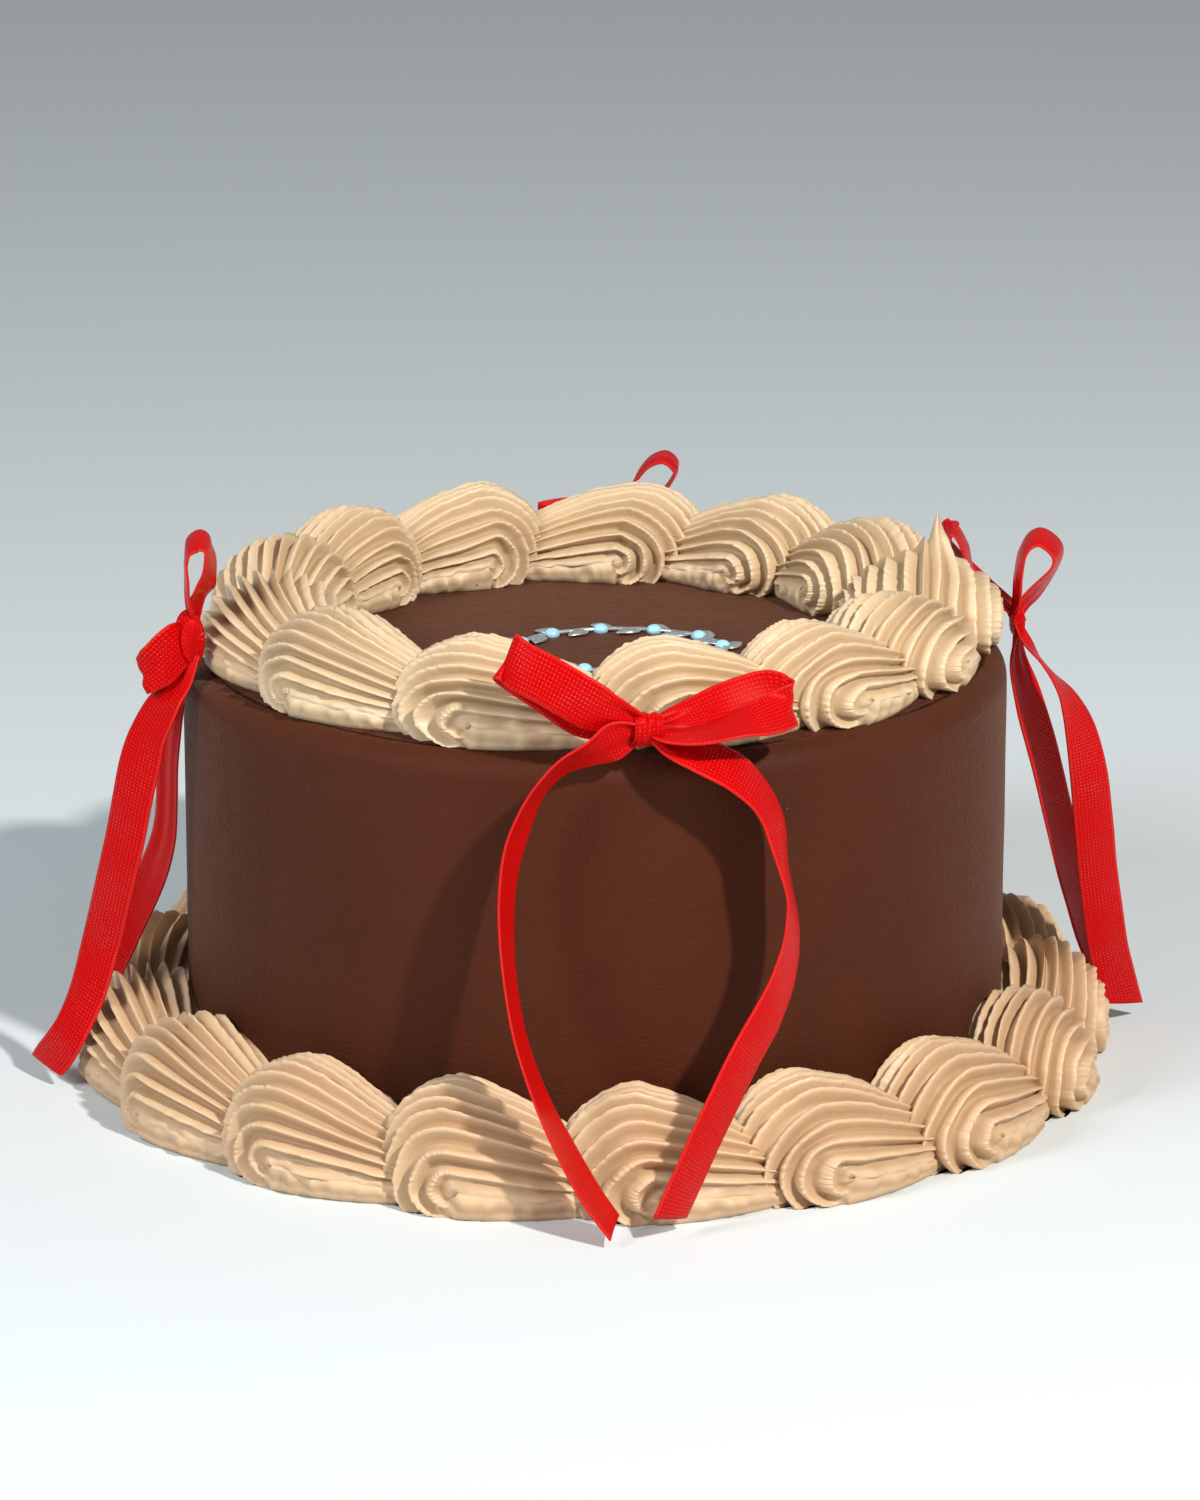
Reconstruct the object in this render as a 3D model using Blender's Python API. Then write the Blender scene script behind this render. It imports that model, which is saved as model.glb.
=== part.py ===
"""Small round layer cake with a piped shell border round its top, a second one round its foot,
four tied ribbon bows and a thin leaf wreath on the top.  Metres, +Z up.
The origin is on the cake's axis at its underside; -Y is the front."""
import math
import random

import bmesh
import bpy
from mathutils import Matrix, Vector

MM = 0.001

# Cake
CAKE_RADIUS = 0.084
CAKE_HEIGHT = 0.0865
EDGE_RADIUS = 0.005
EDGE_STEPS = 3
CAKE_SEGMENTS = 96

# Shells, common to both borders
CLEARANCE = 0.0003
CRESTS = 8
RIDGE = 0.055
HEAD_ANGLES = (270, 218, 180, 135, 90)
TAIL_STEPS = (0.5, 1.0)
SIZE_SPREAD = 0.035

# Top border: pivot azimuths in degrees, counter-clockwise from the front
TOP_AZIMUTHS = (-80, -51, -20, 12, 39.5, 65, 93, 120, 145, 173, 203, 231, 256)
TOP_RADIUS = 0.0655
TOP_WIDTH = 0.0149
TOP_REACH = 0.0150
TOP_RISE = 0.0182
TOP_PIVOT = 0.0050
TIP_SHELL = 7
TIP_RISE = 0.0090
TIP_OUT = 0.0040
TIP_SCALE = 1.12

# Foot border
BASE_AZIMUTHS = (-81, -60, -38, -16.5, 5, 26, 47, 69, 90, 111, 132, 153, 174, 195, 216, 237, 258)
BASE_RADIUS = 0.0920
BASE_WIDTH = 0.0145
BASE_REACH = 0.0150
BASE_RISE = 0.0225
BASE_PIVOT = 0.0055

# Ribbon
RIBBON_THICKNESS = 0.0007
LOOP_STATIONS = 11
TAIL_STATIONS = 10
KNOT_SIZE = (0.0027, 0.0023, 0.0031)

# Leaf wreath on the top
WREATH_CENTRE = (0.005, -0.004)
WREATH_RADII = (0.0215, 0.0165)
WREATH_THICKNESS = 0.0009
WREATH_LEAVES = 12
WREATH_STEM = 0.0009
WREATH_LEAF = 0.0026

# Each ribbon point: tangential, radial and height position, then the direction of the
# ribbon's width in the same three axes, then the half width.  Millimetres.
FRONT_BOW = {
    "azimuth": 6.0,
    "knot": (0.0, 87.6, 93.8),
    "loops": (
        ((-1.0, 88.6, 94.2, 0.3, 0.0, 0.95, 2.4), (-6.0, 90.3, 97.2, 0.45, 0.0, 0.9, 4.2),
         (-12.5, 90.8, 101.5, 0.5, 0.1, 0.87, 4.75), (-20.5, 89.8, 106.0, 0.45, 0.15, 0.88, 4.75),
         (-24.8, 87.2, 107.3, 0.3, 0.1, 0.95, 4.75), (-21.0, 85.4, 105.3, 0.45, 0.0, 0.9, 4.75),
         (-12.0, 85.0, 100.3, 0.45, 0.0, 0.9, 4.2), (-4.0, 86.0, 96.0, 0.4, 0.0, 0.9, 3.2),
         (-0.5, 86.9, 94.0, 0.3, 0.0, 0.95, 2.4)),
        ((1.0, 88.6, 93.4, -0.3, 0.0, 0.95, 2.4), (7.0, 90.6, 93.2, -0.1, -0.5, 0.85, 4.0),
         (15.0, 92.0, 93.8, -0.1, -0.65, 0.75, 4.75), (23.0, 91.4, 96.4, -0.15, -0.4, 0.9, 4.75),
         (28.2, 88.0, 99.0, -0.2, -0.2, 0.95, 4.75), (24.5, 85.3, 100.4, -0.25, 0.0, 0.97, 4.75),
         (15.5, 85.0, 98.6, -0.25, 0.0, 0.97, 4.75), (6.5, 85.8, 96.0, -0.25, 0.0, 0.97, 3.6),
         (0.8, 86.9, 94.4, -0.3, 0.0, 0.95, 2.4)),
    ),
    "tails": (
        ((-0.5, 88.0, 93.2, -0.4, 0.1, 0.9, 2.4), (-5.0, 89.4, 91.4, -0.4, 0.2, 0.9, 3.8),
         (-9.8, 90.7, 88.9, -0.45, 0.45, 0.75, 4.6), (-17.8, 92.3, 85.6, -0.5, 0.75, 0.4, 4.75),
         (-22.8, 93.4, 79.5, -0.35, 0.93, 0.1, 4.75), (-26.0, 94.3, 71.0, -0.25, 0.97, 0.0, 4.75),
         (-27.3, 97.2, 55.0, -0.2, 0.97, 0.1, 4.75), (-25.9, 101.0, 42.0, -0.25, 0.95, 0.3, 4.75),
         (-21.0, 107.0, 27.0, -0.3, 0.9, 0.4, 4.75), (-15.0, 111.3, 14.0, -0.35, 0.88, 0.35, 4.75),
         (-9.8, 113.6, 3.6, -0.4, 0.85, 0.3, 4.75)),
        ((0.5, 88.0, 92.8, 0.4, 0.1, 0.9, 2.4), (4.5, 89.4, 91.0, 0.45, 0.1, 0.88, 3.8),
         (11.4, 91.3, 88.7, 0.42, 0.2, 0.88, 4.75), (18.6, 92.4, 85.4, 0.55, 0.3, 0.75, 4.75),
         (23.8, 93.4, 79.0, 0.6, 0.7, 0.3, 4.75), (27.0, 94.2, 67.0, 0.3, 0.95, 0.05, 4.75),
         (27.9, 97.0, 52.0, 0.0, 0.98, 0.1, 4.75), (24.6, 101.0, 40.3, -0.5, 0.8, 0.2, 4.75),
         (17.2, 106.6, 30.0, -0.6, 0.7, 0.4, 4.75), (10.0, 110.8, 16.0, -0.55, 0.75, 0.35, 4.75),
         (3.7, 113.9, 4.0, -0.5, 0.8, 0.25, 4.75)),
    ),
}
LEFT_BOW = {
    "azimuth": -74.0,
    "knot": (0.0, 84.4, 94.4),
    "loops": (
        ((-1.0, 84.8, 96.4, 1.0, 0.0, 0.0, 2.4), (-3.0, 85.0, 102.0, 1.0, 0.0, 0.0, 3.4),
         (-5.0, 84.6, 108.6, 1.0, 0.1, 0.0, 4.4), (-6.0, 83.4, 113.4, 1.0, 0.2, 0.1, 4.75),
         (-6.5, 81.2, 115.4, 1.0, 0.3, 0.1, 4.75), (-6.0, 79.2, 112.8, 1.0, 0.2, 0.1, 4.75),
         (-5.0, 79.4, 107.2, 1.0, 0.1, 0.0, 4.4), (-3.0, 81.6, 101.4, 1.0, 0.0, 0.0, 3.4),
         (-0.5, 83.4, 96.0, 1.0, 0.0, 0.0, 2.4)),
        ((1.0, 84.0, 96.4, 0.9, 0.3, 0.3, 2.4), (4.5, 86.4, 98.0, 0.3, 0.85, 0.4, 3.6),
         (8.5, 89.6, 95.8, 0.4, 0.8, 0.4, 4.6), (10.5, 92.4, 91.0, 0.7, 0.5, 0.3, 4.75),
         (9.0, 91.6, 86.6, 0.85, 0.3, 0.1, 4.75), (5.0, 88.2, 87.2, 0.85, 0.2, 0.3, 4.0),
         (0.8, 84.8, 92.8, 0.9, 0.3, 0.3, 2.4)),
    ),
    "tails": (
        ((0.3, 84.6, 92.8, 0.8, 0.5, 0.0, 2.4), (0.6, 86.4, 86.6, 0.8, 0.45, 0.1, 3.6),
         (2.2, 90.4, 80.0, 0.7, 0.55, 0.3, 4.75), (2.8, 94.6, 73.0, 0.6, 0.7, 0.3, 4.75),
         (1.7, 98.6, 60.3, 0.6, 0.75, 0.2, 4.75), (-1.0, 102.2, 43.5, 0.6, 0.75, 0.2, 4.75),
         (-4.0, 107.0, 27.0, 0.6, 0.75, 0.2, 4.75), (-7.0, 111.4, 13.6, 0.6, 0.75, 0.2, 4.75),
         (-9.7, 112.6, 3.2, 0.5, 0.8, 0.2, 4.75)),
        ((-0.6, 85.0, 92.0, 0.85, 0.4, 0.1, 2.4), (-4.0, 87.0, 82.0, 0.9, 0.35, 0.3, 4.0),
         (-9.0, 88.4, 64.2, 0.85, 0.45, 0.2, 4.75), (-13.5, 90.2, 46.9, 0.8, 0.55, 0.2, 4.75),
         (-18.5, 95.6, 32.0, 0.75, 0.6, 0.2, 4.75), (-23.5, 104.0, 20.0, 0.7, 0.6, 0.2, 4.75),
         (-26.0, 110.0, 10.0, 0.7, 0.6, 0.2, 4.75), (-27.5, 113.4, 4.0, 0.7, 0.6, 0.2, 4.75)),
    ),
}
RIGHT_BOW = {
    "azimuth": 96.0,
    "knot": (0.0, 87.8, 92.0),
    "loops": (
        ((-0.4, 87.2, 93.6, 1.0, 0.0, 0.0, 2.4), (-0.6, 87.6, 98.0, 1.0, 0.0, 0.0, 3.6),
         (-0.8, 88.4, 103.4, 1.0, 0.1, -0.1, 4.75), (-1.0, 90.2, 107.6, 0.95, 0.2, -0.2, 4.75),
         (-1.0, 93.2, 109.2, 0.9, 0.3, -0.3, 4.75), (-1.0, 96.6, 106.4, 0.9, 0.3, -0.3, 4.75),
         (-0.8, 95.4, 101.6, 0.95, 0.2, -0.2, 4.75), (-0.6, 92.0, 97.4, 1.0, 0.0, -0.1, 4.0),
         (-0.4, 88.8, 93.4, 1.0, 0.0, 0.0, 2.4)),
        ((0.4, 86.6, 93.8, 0.9, 0.3, 0.2, 2.4), (4.5, 84.0, 98.2, 0.9, 0.3, 0.2, 3.6),
         (8.5, 81.0, 102.4, 0.9, 0.35, 0.2, 4.4), (11.0, 78.4, 106.2, 0.9, 0.4, 0.2, 4.6),
         (13.5, 75.4, 107.6, 0.9, 0.4, 0.2, 4.6), (14.5, 74.6, 104.4, 0.9, 0.4, 0.2, 4.4),
         (10.0, 79.6, 98.6, 0.9, 0.3, 0.2, 3.6), (1.6, 87.4, 91.8, 0.9, 0.3, 0.2, 2.4)),
    ),
    "tails": (
        ((0.5, 87.8, 91.0, 0.75, 0.6, 0.1, 2.4), (0.2, 88.8, 84.0, 0.75, 0.6, 0.1, 3.6),
         (-0.3, 91.9, 66.7, 0.7, 0.68, 0.1, 4.75), (0.1, 95.6, 47.5, 0.7, 0.68, 0.1, 4.75),
         (2.0, 99.6, 34.0, 0.7, 0.68, 0.1, 4.75), (6.0, 106.0, 19.0, 0.7, 0.65, 0.1, 4.75),
         (8.5, 111.0, 9.0, 0.7, 0.65, 0.1, 4.75), (9.6, 113.0, 3.4, 0.7, 0.65, 0.1, 4.75)),
        ((-0.8, 88.4, 91.2, 0.75, -0.4, 0.3, 2.4), (-3.4, 90.4, 87.4, 0.8, -0.3, 0.3, 3.6),
         (-6.4, 94.4, 80.4, 0.9, 0.1, 0.3, 4.75), (-8.6, 99.2, 71.5, 0.7, 0.65, 0.3, 4.75),
         (-8.8, 101.0, 53.7, 0.6, 0.75, 0.1, 4.75), (-6.0, 103.2, 38.0, 0.6, 0.75, 0.1, 4.75),
         (-0.5, 107.4, 20.0, 0.6, 0.75, 0.1, 4.75), (5.0, 112.4, 3.4, 0.6, 0.75, 0.2, 4.75)),
    ),
}
BACK_BOW = {
    "azimuth": 174.0,
    "knot": (0.0, 87.0, 93.0),
    "loops": (
        ((0.6, 87.0, 94.6, 0.0, 1.0, 0.0, 2.4), (0.9, 87.2, 98.6, 0.0, 1.0, 0.0, 3.6),
         (0.2, 88.0, 101.4, 0.0, 1.0, 0.1, 4.2), (-2.5, 88.0, 104.8, 0.0, 1.0, 0.1, 4.2),
         (-6.0, 88.0, 106.0, 0.0, 1.0, 0.1, 4.2), (-8.6, 88.0, 103.6, 0.0, 1.0, 0.1, 4.2),
         (-7.2, 88.0, 100.0, 0.0, 1.0, 0.0, 4.2), (-4.2, 87.2, 96.6, 0.0, 1.0, 0.0, 3.6),
         (-1.0, 87.0, 93.8, 0.0, 1.0, 0.0, 2.4)),
        ((1.0, 88.0, 93.0, -0.2, 0.0, 0.97, 2.4), (7.0, 90.0, 91.8, 0.0, 0.0, 1.0, 4.0),
         (15.0, 91.2, 90.8, 0.0, 0.0, 1.0, 4.75), (21.0, 89.4, 90.2, 0.0, 0.0, 1.0, 4.75),
         (21.0, 86.6, 90.4, 0.0, 0.0, 1.0, 4.75), (14.0, 85.8, 91.2, 0.0, 0.0, 1.0, 4.75),
         (6.5, 85.6, 92.2, 0.0, 0.0, 1.0, 3.8), (0.8, 86.2, 93.2, 0.0, 0.0, 1.0, 2.4)),
    ),
    "tails": (
        ((-0.5, 87.4, 92.4, -0.4, 0.1, 0.9, 2.4), (-7.0, 90.0, 89.0, -0.45, 0.3, 0.8, 4.0),
         (-14.0, 92.4, 81.0, -0.6, 0.6, 0.3, 4.75), (-17.0, 94.6, 68.0, -0.5, 0.85, 0.0, 4.75),
         (-17.0, 97.4, 52.0, -0.5, 0.85, 0.1, 4.75), (-13.5, 102.0, 38.0, -0.5, 0.8, 0.2, 4.75),
         (-8.5, 108.4, 22.0, -0.5, 0.8, 0.2, 4.75), (-4.0, 113.4, 4.0, -0.5, 0.8, 0.2, 4.75)),
        ((0.5, 87.4, 92.4, 0.4, 0.1, 0.9, 2.4), (7.0, 90.0, 89.0, 0.45, 0.3, 0.8, 4.0),
         (15.0, 92.4, 82.0, 0.6, 0.6, 0.3, 4.75), (19.0, 94.6, 69.0, 0.5, 0.85, 0.0, 4.75),
         (20.0, 97.4, 53.0, 0.5, 0.85, 0.1, 4.75), (18.0, 102.0, 38.0, 0.5, 0.8, 0.2, 4.75),
         (15.0, 108.4, 22.0, 0.5, 0.8, 0.2, 4.75), (12.0, 113.4, 4.0, 0.5, 0.8, 0.2, 4.75)),
    ),
}


def clear_scene():
    for obj in list(bpy.data.objects):
        bpy.data.objects.remove(obj, do_unlink=True)


def new_material(name, colour, roughness):
    material = bpy.data.materials.new(name)
    material.use_nodes = True
    shader = material.node_tree.nodes["Principled BSDF"]
    shader.inputs["Base Color"].default_value = (*colour, 1.0)
    shader.inputs["Roughness"].default_value = roughness
    shader.inputs["Metallic"].default_value = 0.0
    return material


def new_object(name, bm, material=None):
    bmesh.ops.recalc_face_normals(bm, faces=bm.faces)
    mesh = bpy.data.meshes.new(name)
    bm.to_mesh(mesh)
    bm.free()
    obj = bpy.data.objects.new(name, mesh)
    bpy.context.collection.objects.link(obj)
    if material:
        mesh.materials.append(material)
    return obj


def bake_modifiers(obj):
    """Turn the object's evaluated shape into its mesh."""
    graph = bpy.context.evaluated_depsgraph_get()
    graph.update()
    mesh = bpy.data.meshes.new_from_object(obj.evaluated_get(graph))
    obj.modifiers.clear()
    obj.data = mesh


def boolean(obj, other, operation):
    modifier = obj.modifiers.new(operation.title(), "BOOLEAN")
    modifier.operation = operation
    modifier.solver = "EXACT"
    modifier.object = other
    bake_modifiers(obj)
    bpy.data.objects.remove(other, do_unlink=True)


# Cake
def make_cake(material):
    bm = bmesh.new()
    bmesh.ops.create_cone(bm, cap_ends=True, segments=CAKE_SEGMENTS, radius1=CAKE_RADIUS,
                          radius2=CAKE_RADIUS, depth=CAKE_HEIGHT,
                          matrix=Matrix.Translation((0, 0, CAKE_HEIGHT / 2)))
    rim = [e for e in bm.edges if all(v.co.z > CAKE_HEIGHT * 0.99 for v in e.verts)]
    bmesh.ops.bevel(bm, geom=rim, offset=EDGE_RADIUS, segments=EDGE_STEPS, profile=0.5,
                    affect="EDGES", clamp_overlap=True)
    cake = new_object("cake", bm, material)
    cake.data.shade_smooth()
    cake.data.set_sharp_from_angle(angle=math.radians(50))


# Shells
def shell_form(azimuth, gap, ring, width, reach, rise, pivot, floor, wall, tip):
    """Sizes of one shell: gap is the azimuth step to the next one."""
    return {"azimuth": azimuth, "length": math.radians(gap) * ring * 0.76, "ring": ring,
            "width": width, "reach": reach, "rise": rise - pivot, "pivot": pivot,
            "floor": floor, "wall": wall, "tip": tip}


def head_radius(form, angle):
    """Distance from the pivot to the shell's surface in the upright plane along the border."""
    back = math.cos(angle) / form["reach"]
    height = form["rise"] if math.sin(angle) > 0 else form["pivot"] * 2.2
    up = math.sin(angle) / height
    return 1.0 / math.hypot(back, up)


def crest_gain(step, steps, fade):
    """Every second line across the shell is a crest, the ones between are valleys."""
    if step in (0, steps):
        return 1.0
    return 1.0 + fade * (RIDGE if step % 2 else -RIDGE)


def head_point(form, angle, step, steps, fade):
    across = math.pi * step / steps
    gain = crest_gain(step, steps, fade)
    radius = head_radius(form, angle) * math.sin(across) * gain
    along = math.cos(angle) * radius
    height = max(0.0, form["pivot"] + math.sin(angle) * radius)
    return along, form["width"] * math.cos(across) * gain, height


def tail_point(form, share, step, steps, top):
    across = math.pi * step / steps
    half = form["width"] * (1.0 - 0.38 * share ** 1.4)
    base = form["pivot"] * (1.0 - 0.45 * share)
    if step in (0, steps):
        return form["length"] * share, half * math.cos(across), base
    if not top:
        return form["length"] * share, 0.9 * half * math.cos(across), 0.0
    gain = crest_gain(step, steps, 1.0)
    rise = form["rise"] * (1.0 - 0.52 * share ** 1.2)
    return form["length"] * share, half * math.cos(across) * gain, base + rise * math.sin(across) * gain


def raise_tip(form, point):
    """A pulled-up peak where the nozzle left the last shell, a little outside its middle."""
    along, out, height = point
    distance = math.hypot(along - 0.001, out - TIP_OUT) / 0.0045
    lift = form["tip"] * math.exp(-distance * distance) if height > form["rise"] * 0.6 else 0.0
    return along, out, height + lift


def place(form, point):
    """Bend a point of the straight shell round the cake's axis."""
    along, out, height = point
    out = max(out, form["wall"] - form["ring"])
    turn = math.radians(form["azimuth"]) + along / form["ring"]
    radius = form["ring"] + out
    return Vector((radius * math.sin(turn), -radius * math.cos(turn), height + form["floor"]))


def shell_rows(form, steps, fade):
    rows = []
    for share in reversed(TAIL_STEPS):
        rows.append([tail_point(form, share, i, steps, False) for i in range(steps + 1)])
    for degrees in HEAD_ANGLES:
        angle = math.radians(degrees)
        row = [head_point(form, angle, i, steps, fade if degrees < 260 else 0.0) for i in range(steps + 1)]
        rows.append(row)
    for share in TAIL_STEPS:
        rows.append([tail_point(form, share, i, steps, True) for i in range(steps + 1)])
    return rows


def skin(bm, form, rows):
    """Quads between the rows, a cap at the tail's end, doubles merged."""
    grid = [[bm.verts.new(place(form, raise_tip(form, p))) for p in row] for row in rows]
    for lower, upper in zip(grid, grid[1:]):
        for i in range(len(lower) - 1):
            bm.faces.new((lower[i], lower[i + 1], upper[i + 1], upper[i]))
    bm.faces.new(grid[-1] + grid[0][-2:0:-1])
    bmesh.ops.remove_doubles(bm, verts=bm.verts, dist=1e-6)
    bmesh.ops.dissolve_limit(bm, angle_limit=math.radians(0.4), verts=bm.verts, edges=bm.edges)
    bmesh.ops.triangulate(bm, faces=bm.faces)


def make_shell(name, form, material):
    bm = bmesh.new()
    skin(bm, form, shell_rows(form, 2 * CRESTS, 1.0))
    return new_object(name, bm, material)


def make_envelope(form):
    """Smooth outside of a shell's head, a little larger, to cut the tail that meets it."""
    grown = dict(form)
    for key in ("width", "reach", "rise"):
        grown[key] = form[key] * (1.0 + RIDGE) + CLEARANCE * 2.2
    grown["wall"] = 0.0
    grown["tip"] = 0.0
    bm = bmesh.new()
    rows = shell_rows(grown, 8, 0.0)
    for row in rows:
        for i, (along, out, height) in enumerate(row):
            row[i] = (along, out, height if height > 0 else -0.002)
    skin(bm, grown, rows)
    return new_object("envelope", bm)


def cut_tail(shell, following):
    envelope = make_envelope(following)
    envelope.hide_render = True
    envelope.display_type = "WIRE"
    boolean(shell, envelope, "DIFFERENCE")


def make_border(prefix, azimuths, sizes, floor, wall, tip_shell, seed, material):
    """One ring of shells, each with its tail running under the head of the next."""
    spread = random.Random(seed)
    ring, width, reach, rise, pivot = sizes
    forms = []
    for i, azimuth in enumerate(azimuths):
        gap = (azimuths[(i + 1) % len(azimuths)] - azimuth) % 360
        scale = 1.0 + spread.uniform(-SIZE_SPREAD, SIZE_SPREAD)
        height = rise / scale
        tip = 0.0
        if i + 1 == tip_shell:
            scale, height, tip = TIP_SCALE, rise, TIP_RISE
        forms.append(shell_form(azimuth, gap, ring, width * scale, reach * scale, height,
                                pivot, floor, wall, tip))
    for i, form in enumerate(forms):
        shell = make_shell(f"{prefix}_{i + 1:02d}", form, material)
        cut_tail(shell, forms[(i + 1) % len(forms)])


# Ribbon
def smooth_path(points, stations):
    """Stations along a Catmull-Rom curve through the points; all columns run together."""
    ends = [points[0]] + list(points) + [points[-1]]
    spans = len(points) - 1
    result = []
    for k in range(stations + 1):
        place_on = spans * k / stations
        i = min(int(place_on), spans - 1)
        f = place_on - i
        a, b, c, d = ends[i], ends[i + 1], ends[i + 2], ends[i + 3]
        result.append([0.5 * (2 * q + (r - p) * f + (2 * p - 5 * q + 4 * r - s) * f * f
                              + (3 * q - p - 3 * r + s) * f ** 3) for p, q, r, s in zip(a, b, c, d)])
    return result


def ribbon_frames(points, stations):
    """Centre, width direction, face normal and half width at each station, in metres."""
    path = smooth_path(points, stations)
    centres = [Vector(p[:3]) * MM for p in path]
    frames = []
    for i, p in enumerate(path):
        run = (centres[min(i + 1, stations)] - centres[max(i - 1, 0)]).normalized()
        width = Vector(p[3:6])
        width = (width - run * width.dot(run)).normalized()
        frames.append((centres[i], width, run.cross(width), p[6] * MM))
    return frames


def local_axes(azimuth):
    """Tangential, radial and upward axes at an azimuth, as the columns of a matrix."""
    a = math.radians(azimuth)
    return Matrix(((math.cos(a), math.sin(a), 0), (math.sin(a), -math.cos(a), 0), (0, 0, 1)))


def make_ribbon(points, stations, axes):
    bm = bmesh.new()
    rings = []
    for centre, width, normal, half in ribbon_frames(points, stations):
        corners = []
        for side, face in ((-1, -1), (1, -1), (1, 1), (-1, 1)):
            corner = centre + width * half * side + normal * RIBBON_THICKNESS / 2 * face
            corners.append(bm.verts.new(axes @ corner))
        rings.append(corners)
    for a, b in zip(rings, rings[1:]):
        for i in range(4):
            bm.faces.new((a[i], a[(i + 1) % 4], b[(i + 1) % 4], b[i]))
    bm.faces.new(rings[0])
    bm.faces.new(rings[-1])
    bmesh.ops.triangulate(bm, faces=bm.faces)
    return new_object("strip", bm)


def make_bow(name, design, material):
    """A knot with two loops and two tails, joined into one solid."""
    axes = local_axes(design["azimuth"])
    bm = bmesh.new()
    bmesh.ops.create_icosphere(bm, subdivisions=1, radius=1.0)
    for vert in bm.verts:
        local = Vector((c * s for c, s in zip(vert.co, KNOT_SIZE)))
        vert.co = axes @ (local + Vector(design["knot"]) * MM)
    bow = new_object(name, bm, material)
    for points in design["loops"]:
        boolean(bow, make_ribbon(points, LOOP_STATIONS, axes), "UNION")
    for points in design["tails"]:
        boolean(bow, make_ribbon(points, TAIL_STATIONS, axes), "UNION")


# Wreath
def make_wreath(material):
    """A flat oval stem with pointed leaves on both sides, cut from one thin layer."""
    bm = bmesh.new()
    steps = WREATH_LEAVES * 4
    rings = {}
    floor = CAKE_HEIGHT + CLEARANCE
    for i in range(steps):
        turn = 2 * math.pi * i / steps
        leaf = (0.0, 0.75, 1.0, 0.45)[i % 4] * WREATH_LEAF
        for side, reach in (("out", WREATH_STEM + leaf), ("in", -WREATH_STEM - leaf * 0.8)):
            x = WREATH_CENTRE[0] + (WREATH_RADII[0] + reach) * math.sin(turn)
            y = WREATH_CENTRE[1] - (WREATH_RADII[1] + reach) * math.cos(turn)
            for level, z in (("low", floor), ("high", floor + WREATH_THICKNESS)):
                rings.setdefault((side, level), []).append(bm.verts.new((x, y, z)))
    order = [("out", "low"), ("out", "high"), ("in", "high"), ("in", "low")]
    for a, b in zip(order, order[1:] + order[:1]):
        for i in range(steps):
            j = (i + 1) % steps
            bm.faces.new((rings[a][i], rings[a][j], rings[b][j], rings[b][i]))
    new_object("top_ornament", bm, material)


def main():
    clear_scene()
    chocolate = new_material("chocolate_icing", (0.095, 0.040, 0.026), 0.62)
    cream = new_material("buttercream", (0.62, 0.42, 0.24), 0.5)
    cream_foot = new_material("buttercream_foot", (0.60, 0.40, 0.23), 0.5)
    red = new_material("ribbon_red", (0.68, 0.004, 0.006), 0.38)
    silver = new_material("silver_blue_icing", (0.52, 0.62, 0.66), 0.35)
    make_cake(chocolate)
    make_border("top_shell", TOP_AZIMUTHS, (TOP_RADIUS, TOP_WIDTH, TOP_REACH, TOP_RISE, TOP_PIVOT),
                CAKE_HEIGHT + CLEARANCE, 0.0, TIP_SHELL, 11, cream)
    make_border("base_shell", BASE_AZIMUTHS, (BASE_RADIUS, BASE_WIDTH, BASE_REACH, BASE_RISE, BASE_PIVOT),
                0.0, CAKE_RADIUS + CLEARANCE, 0, 23, cream_foot)
    for name, design in (("bow_front", FRONT_BOW), ("bow_left", LEFT_BOW),
                         ("bow_right", RIGHT_BOW), ("bow_back", BACK_BOW)):
        make_bow(name, design, red)
    make_wreath(silver)


main()
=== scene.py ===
import math
import random

import bpy
import numpy as np
from mathutils import Matrix, Vector, noise


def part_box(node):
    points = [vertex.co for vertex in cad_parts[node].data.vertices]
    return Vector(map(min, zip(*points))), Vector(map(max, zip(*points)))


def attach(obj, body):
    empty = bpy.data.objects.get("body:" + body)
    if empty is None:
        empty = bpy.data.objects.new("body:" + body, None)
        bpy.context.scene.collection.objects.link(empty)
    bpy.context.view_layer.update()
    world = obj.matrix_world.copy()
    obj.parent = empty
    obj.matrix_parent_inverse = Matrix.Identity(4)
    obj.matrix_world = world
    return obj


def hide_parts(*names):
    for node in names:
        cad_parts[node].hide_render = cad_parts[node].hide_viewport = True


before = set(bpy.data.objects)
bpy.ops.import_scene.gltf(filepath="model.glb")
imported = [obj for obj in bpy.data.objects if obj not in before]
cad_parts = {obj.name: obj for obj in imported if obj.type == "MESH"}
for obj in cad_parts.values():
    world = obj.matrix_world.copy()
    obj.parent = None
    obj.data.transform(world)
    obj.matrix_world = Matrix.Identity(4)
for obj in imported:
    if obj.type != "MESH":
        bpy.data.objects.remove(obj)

bl_info = {
    "name": "Layer Cake with Piped Shells",
    "version": (1, 0, 0),
    "blender": (4, 5, 0),
    "location": "3D View > Sidebar > Cake",
    "description": "Makes the layer cake's icing, piped shells, ribbon bows, leaf wreath and stage",
    "category": "Object",
}

MM = 0.001
CAKE_LOW, CAKE_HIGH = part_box("cake")
TOP = CAKE_HIGH.z

# Places of the shells' pivots in degrees, counter-clockwise from the front
TOP_AZIMUTHS = (-80, -51, -20, 12, 39.5, 65, 93, 120, 145, 173, 203, 231, 256)
FOOT_AZIMUTHS = (-81, -60, -38, -16.5, 5, 26, 47, 69, 90, 111, 132, 153, 174, 195, 216, 237, 258)
TIP_SHELL = 7

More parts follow.
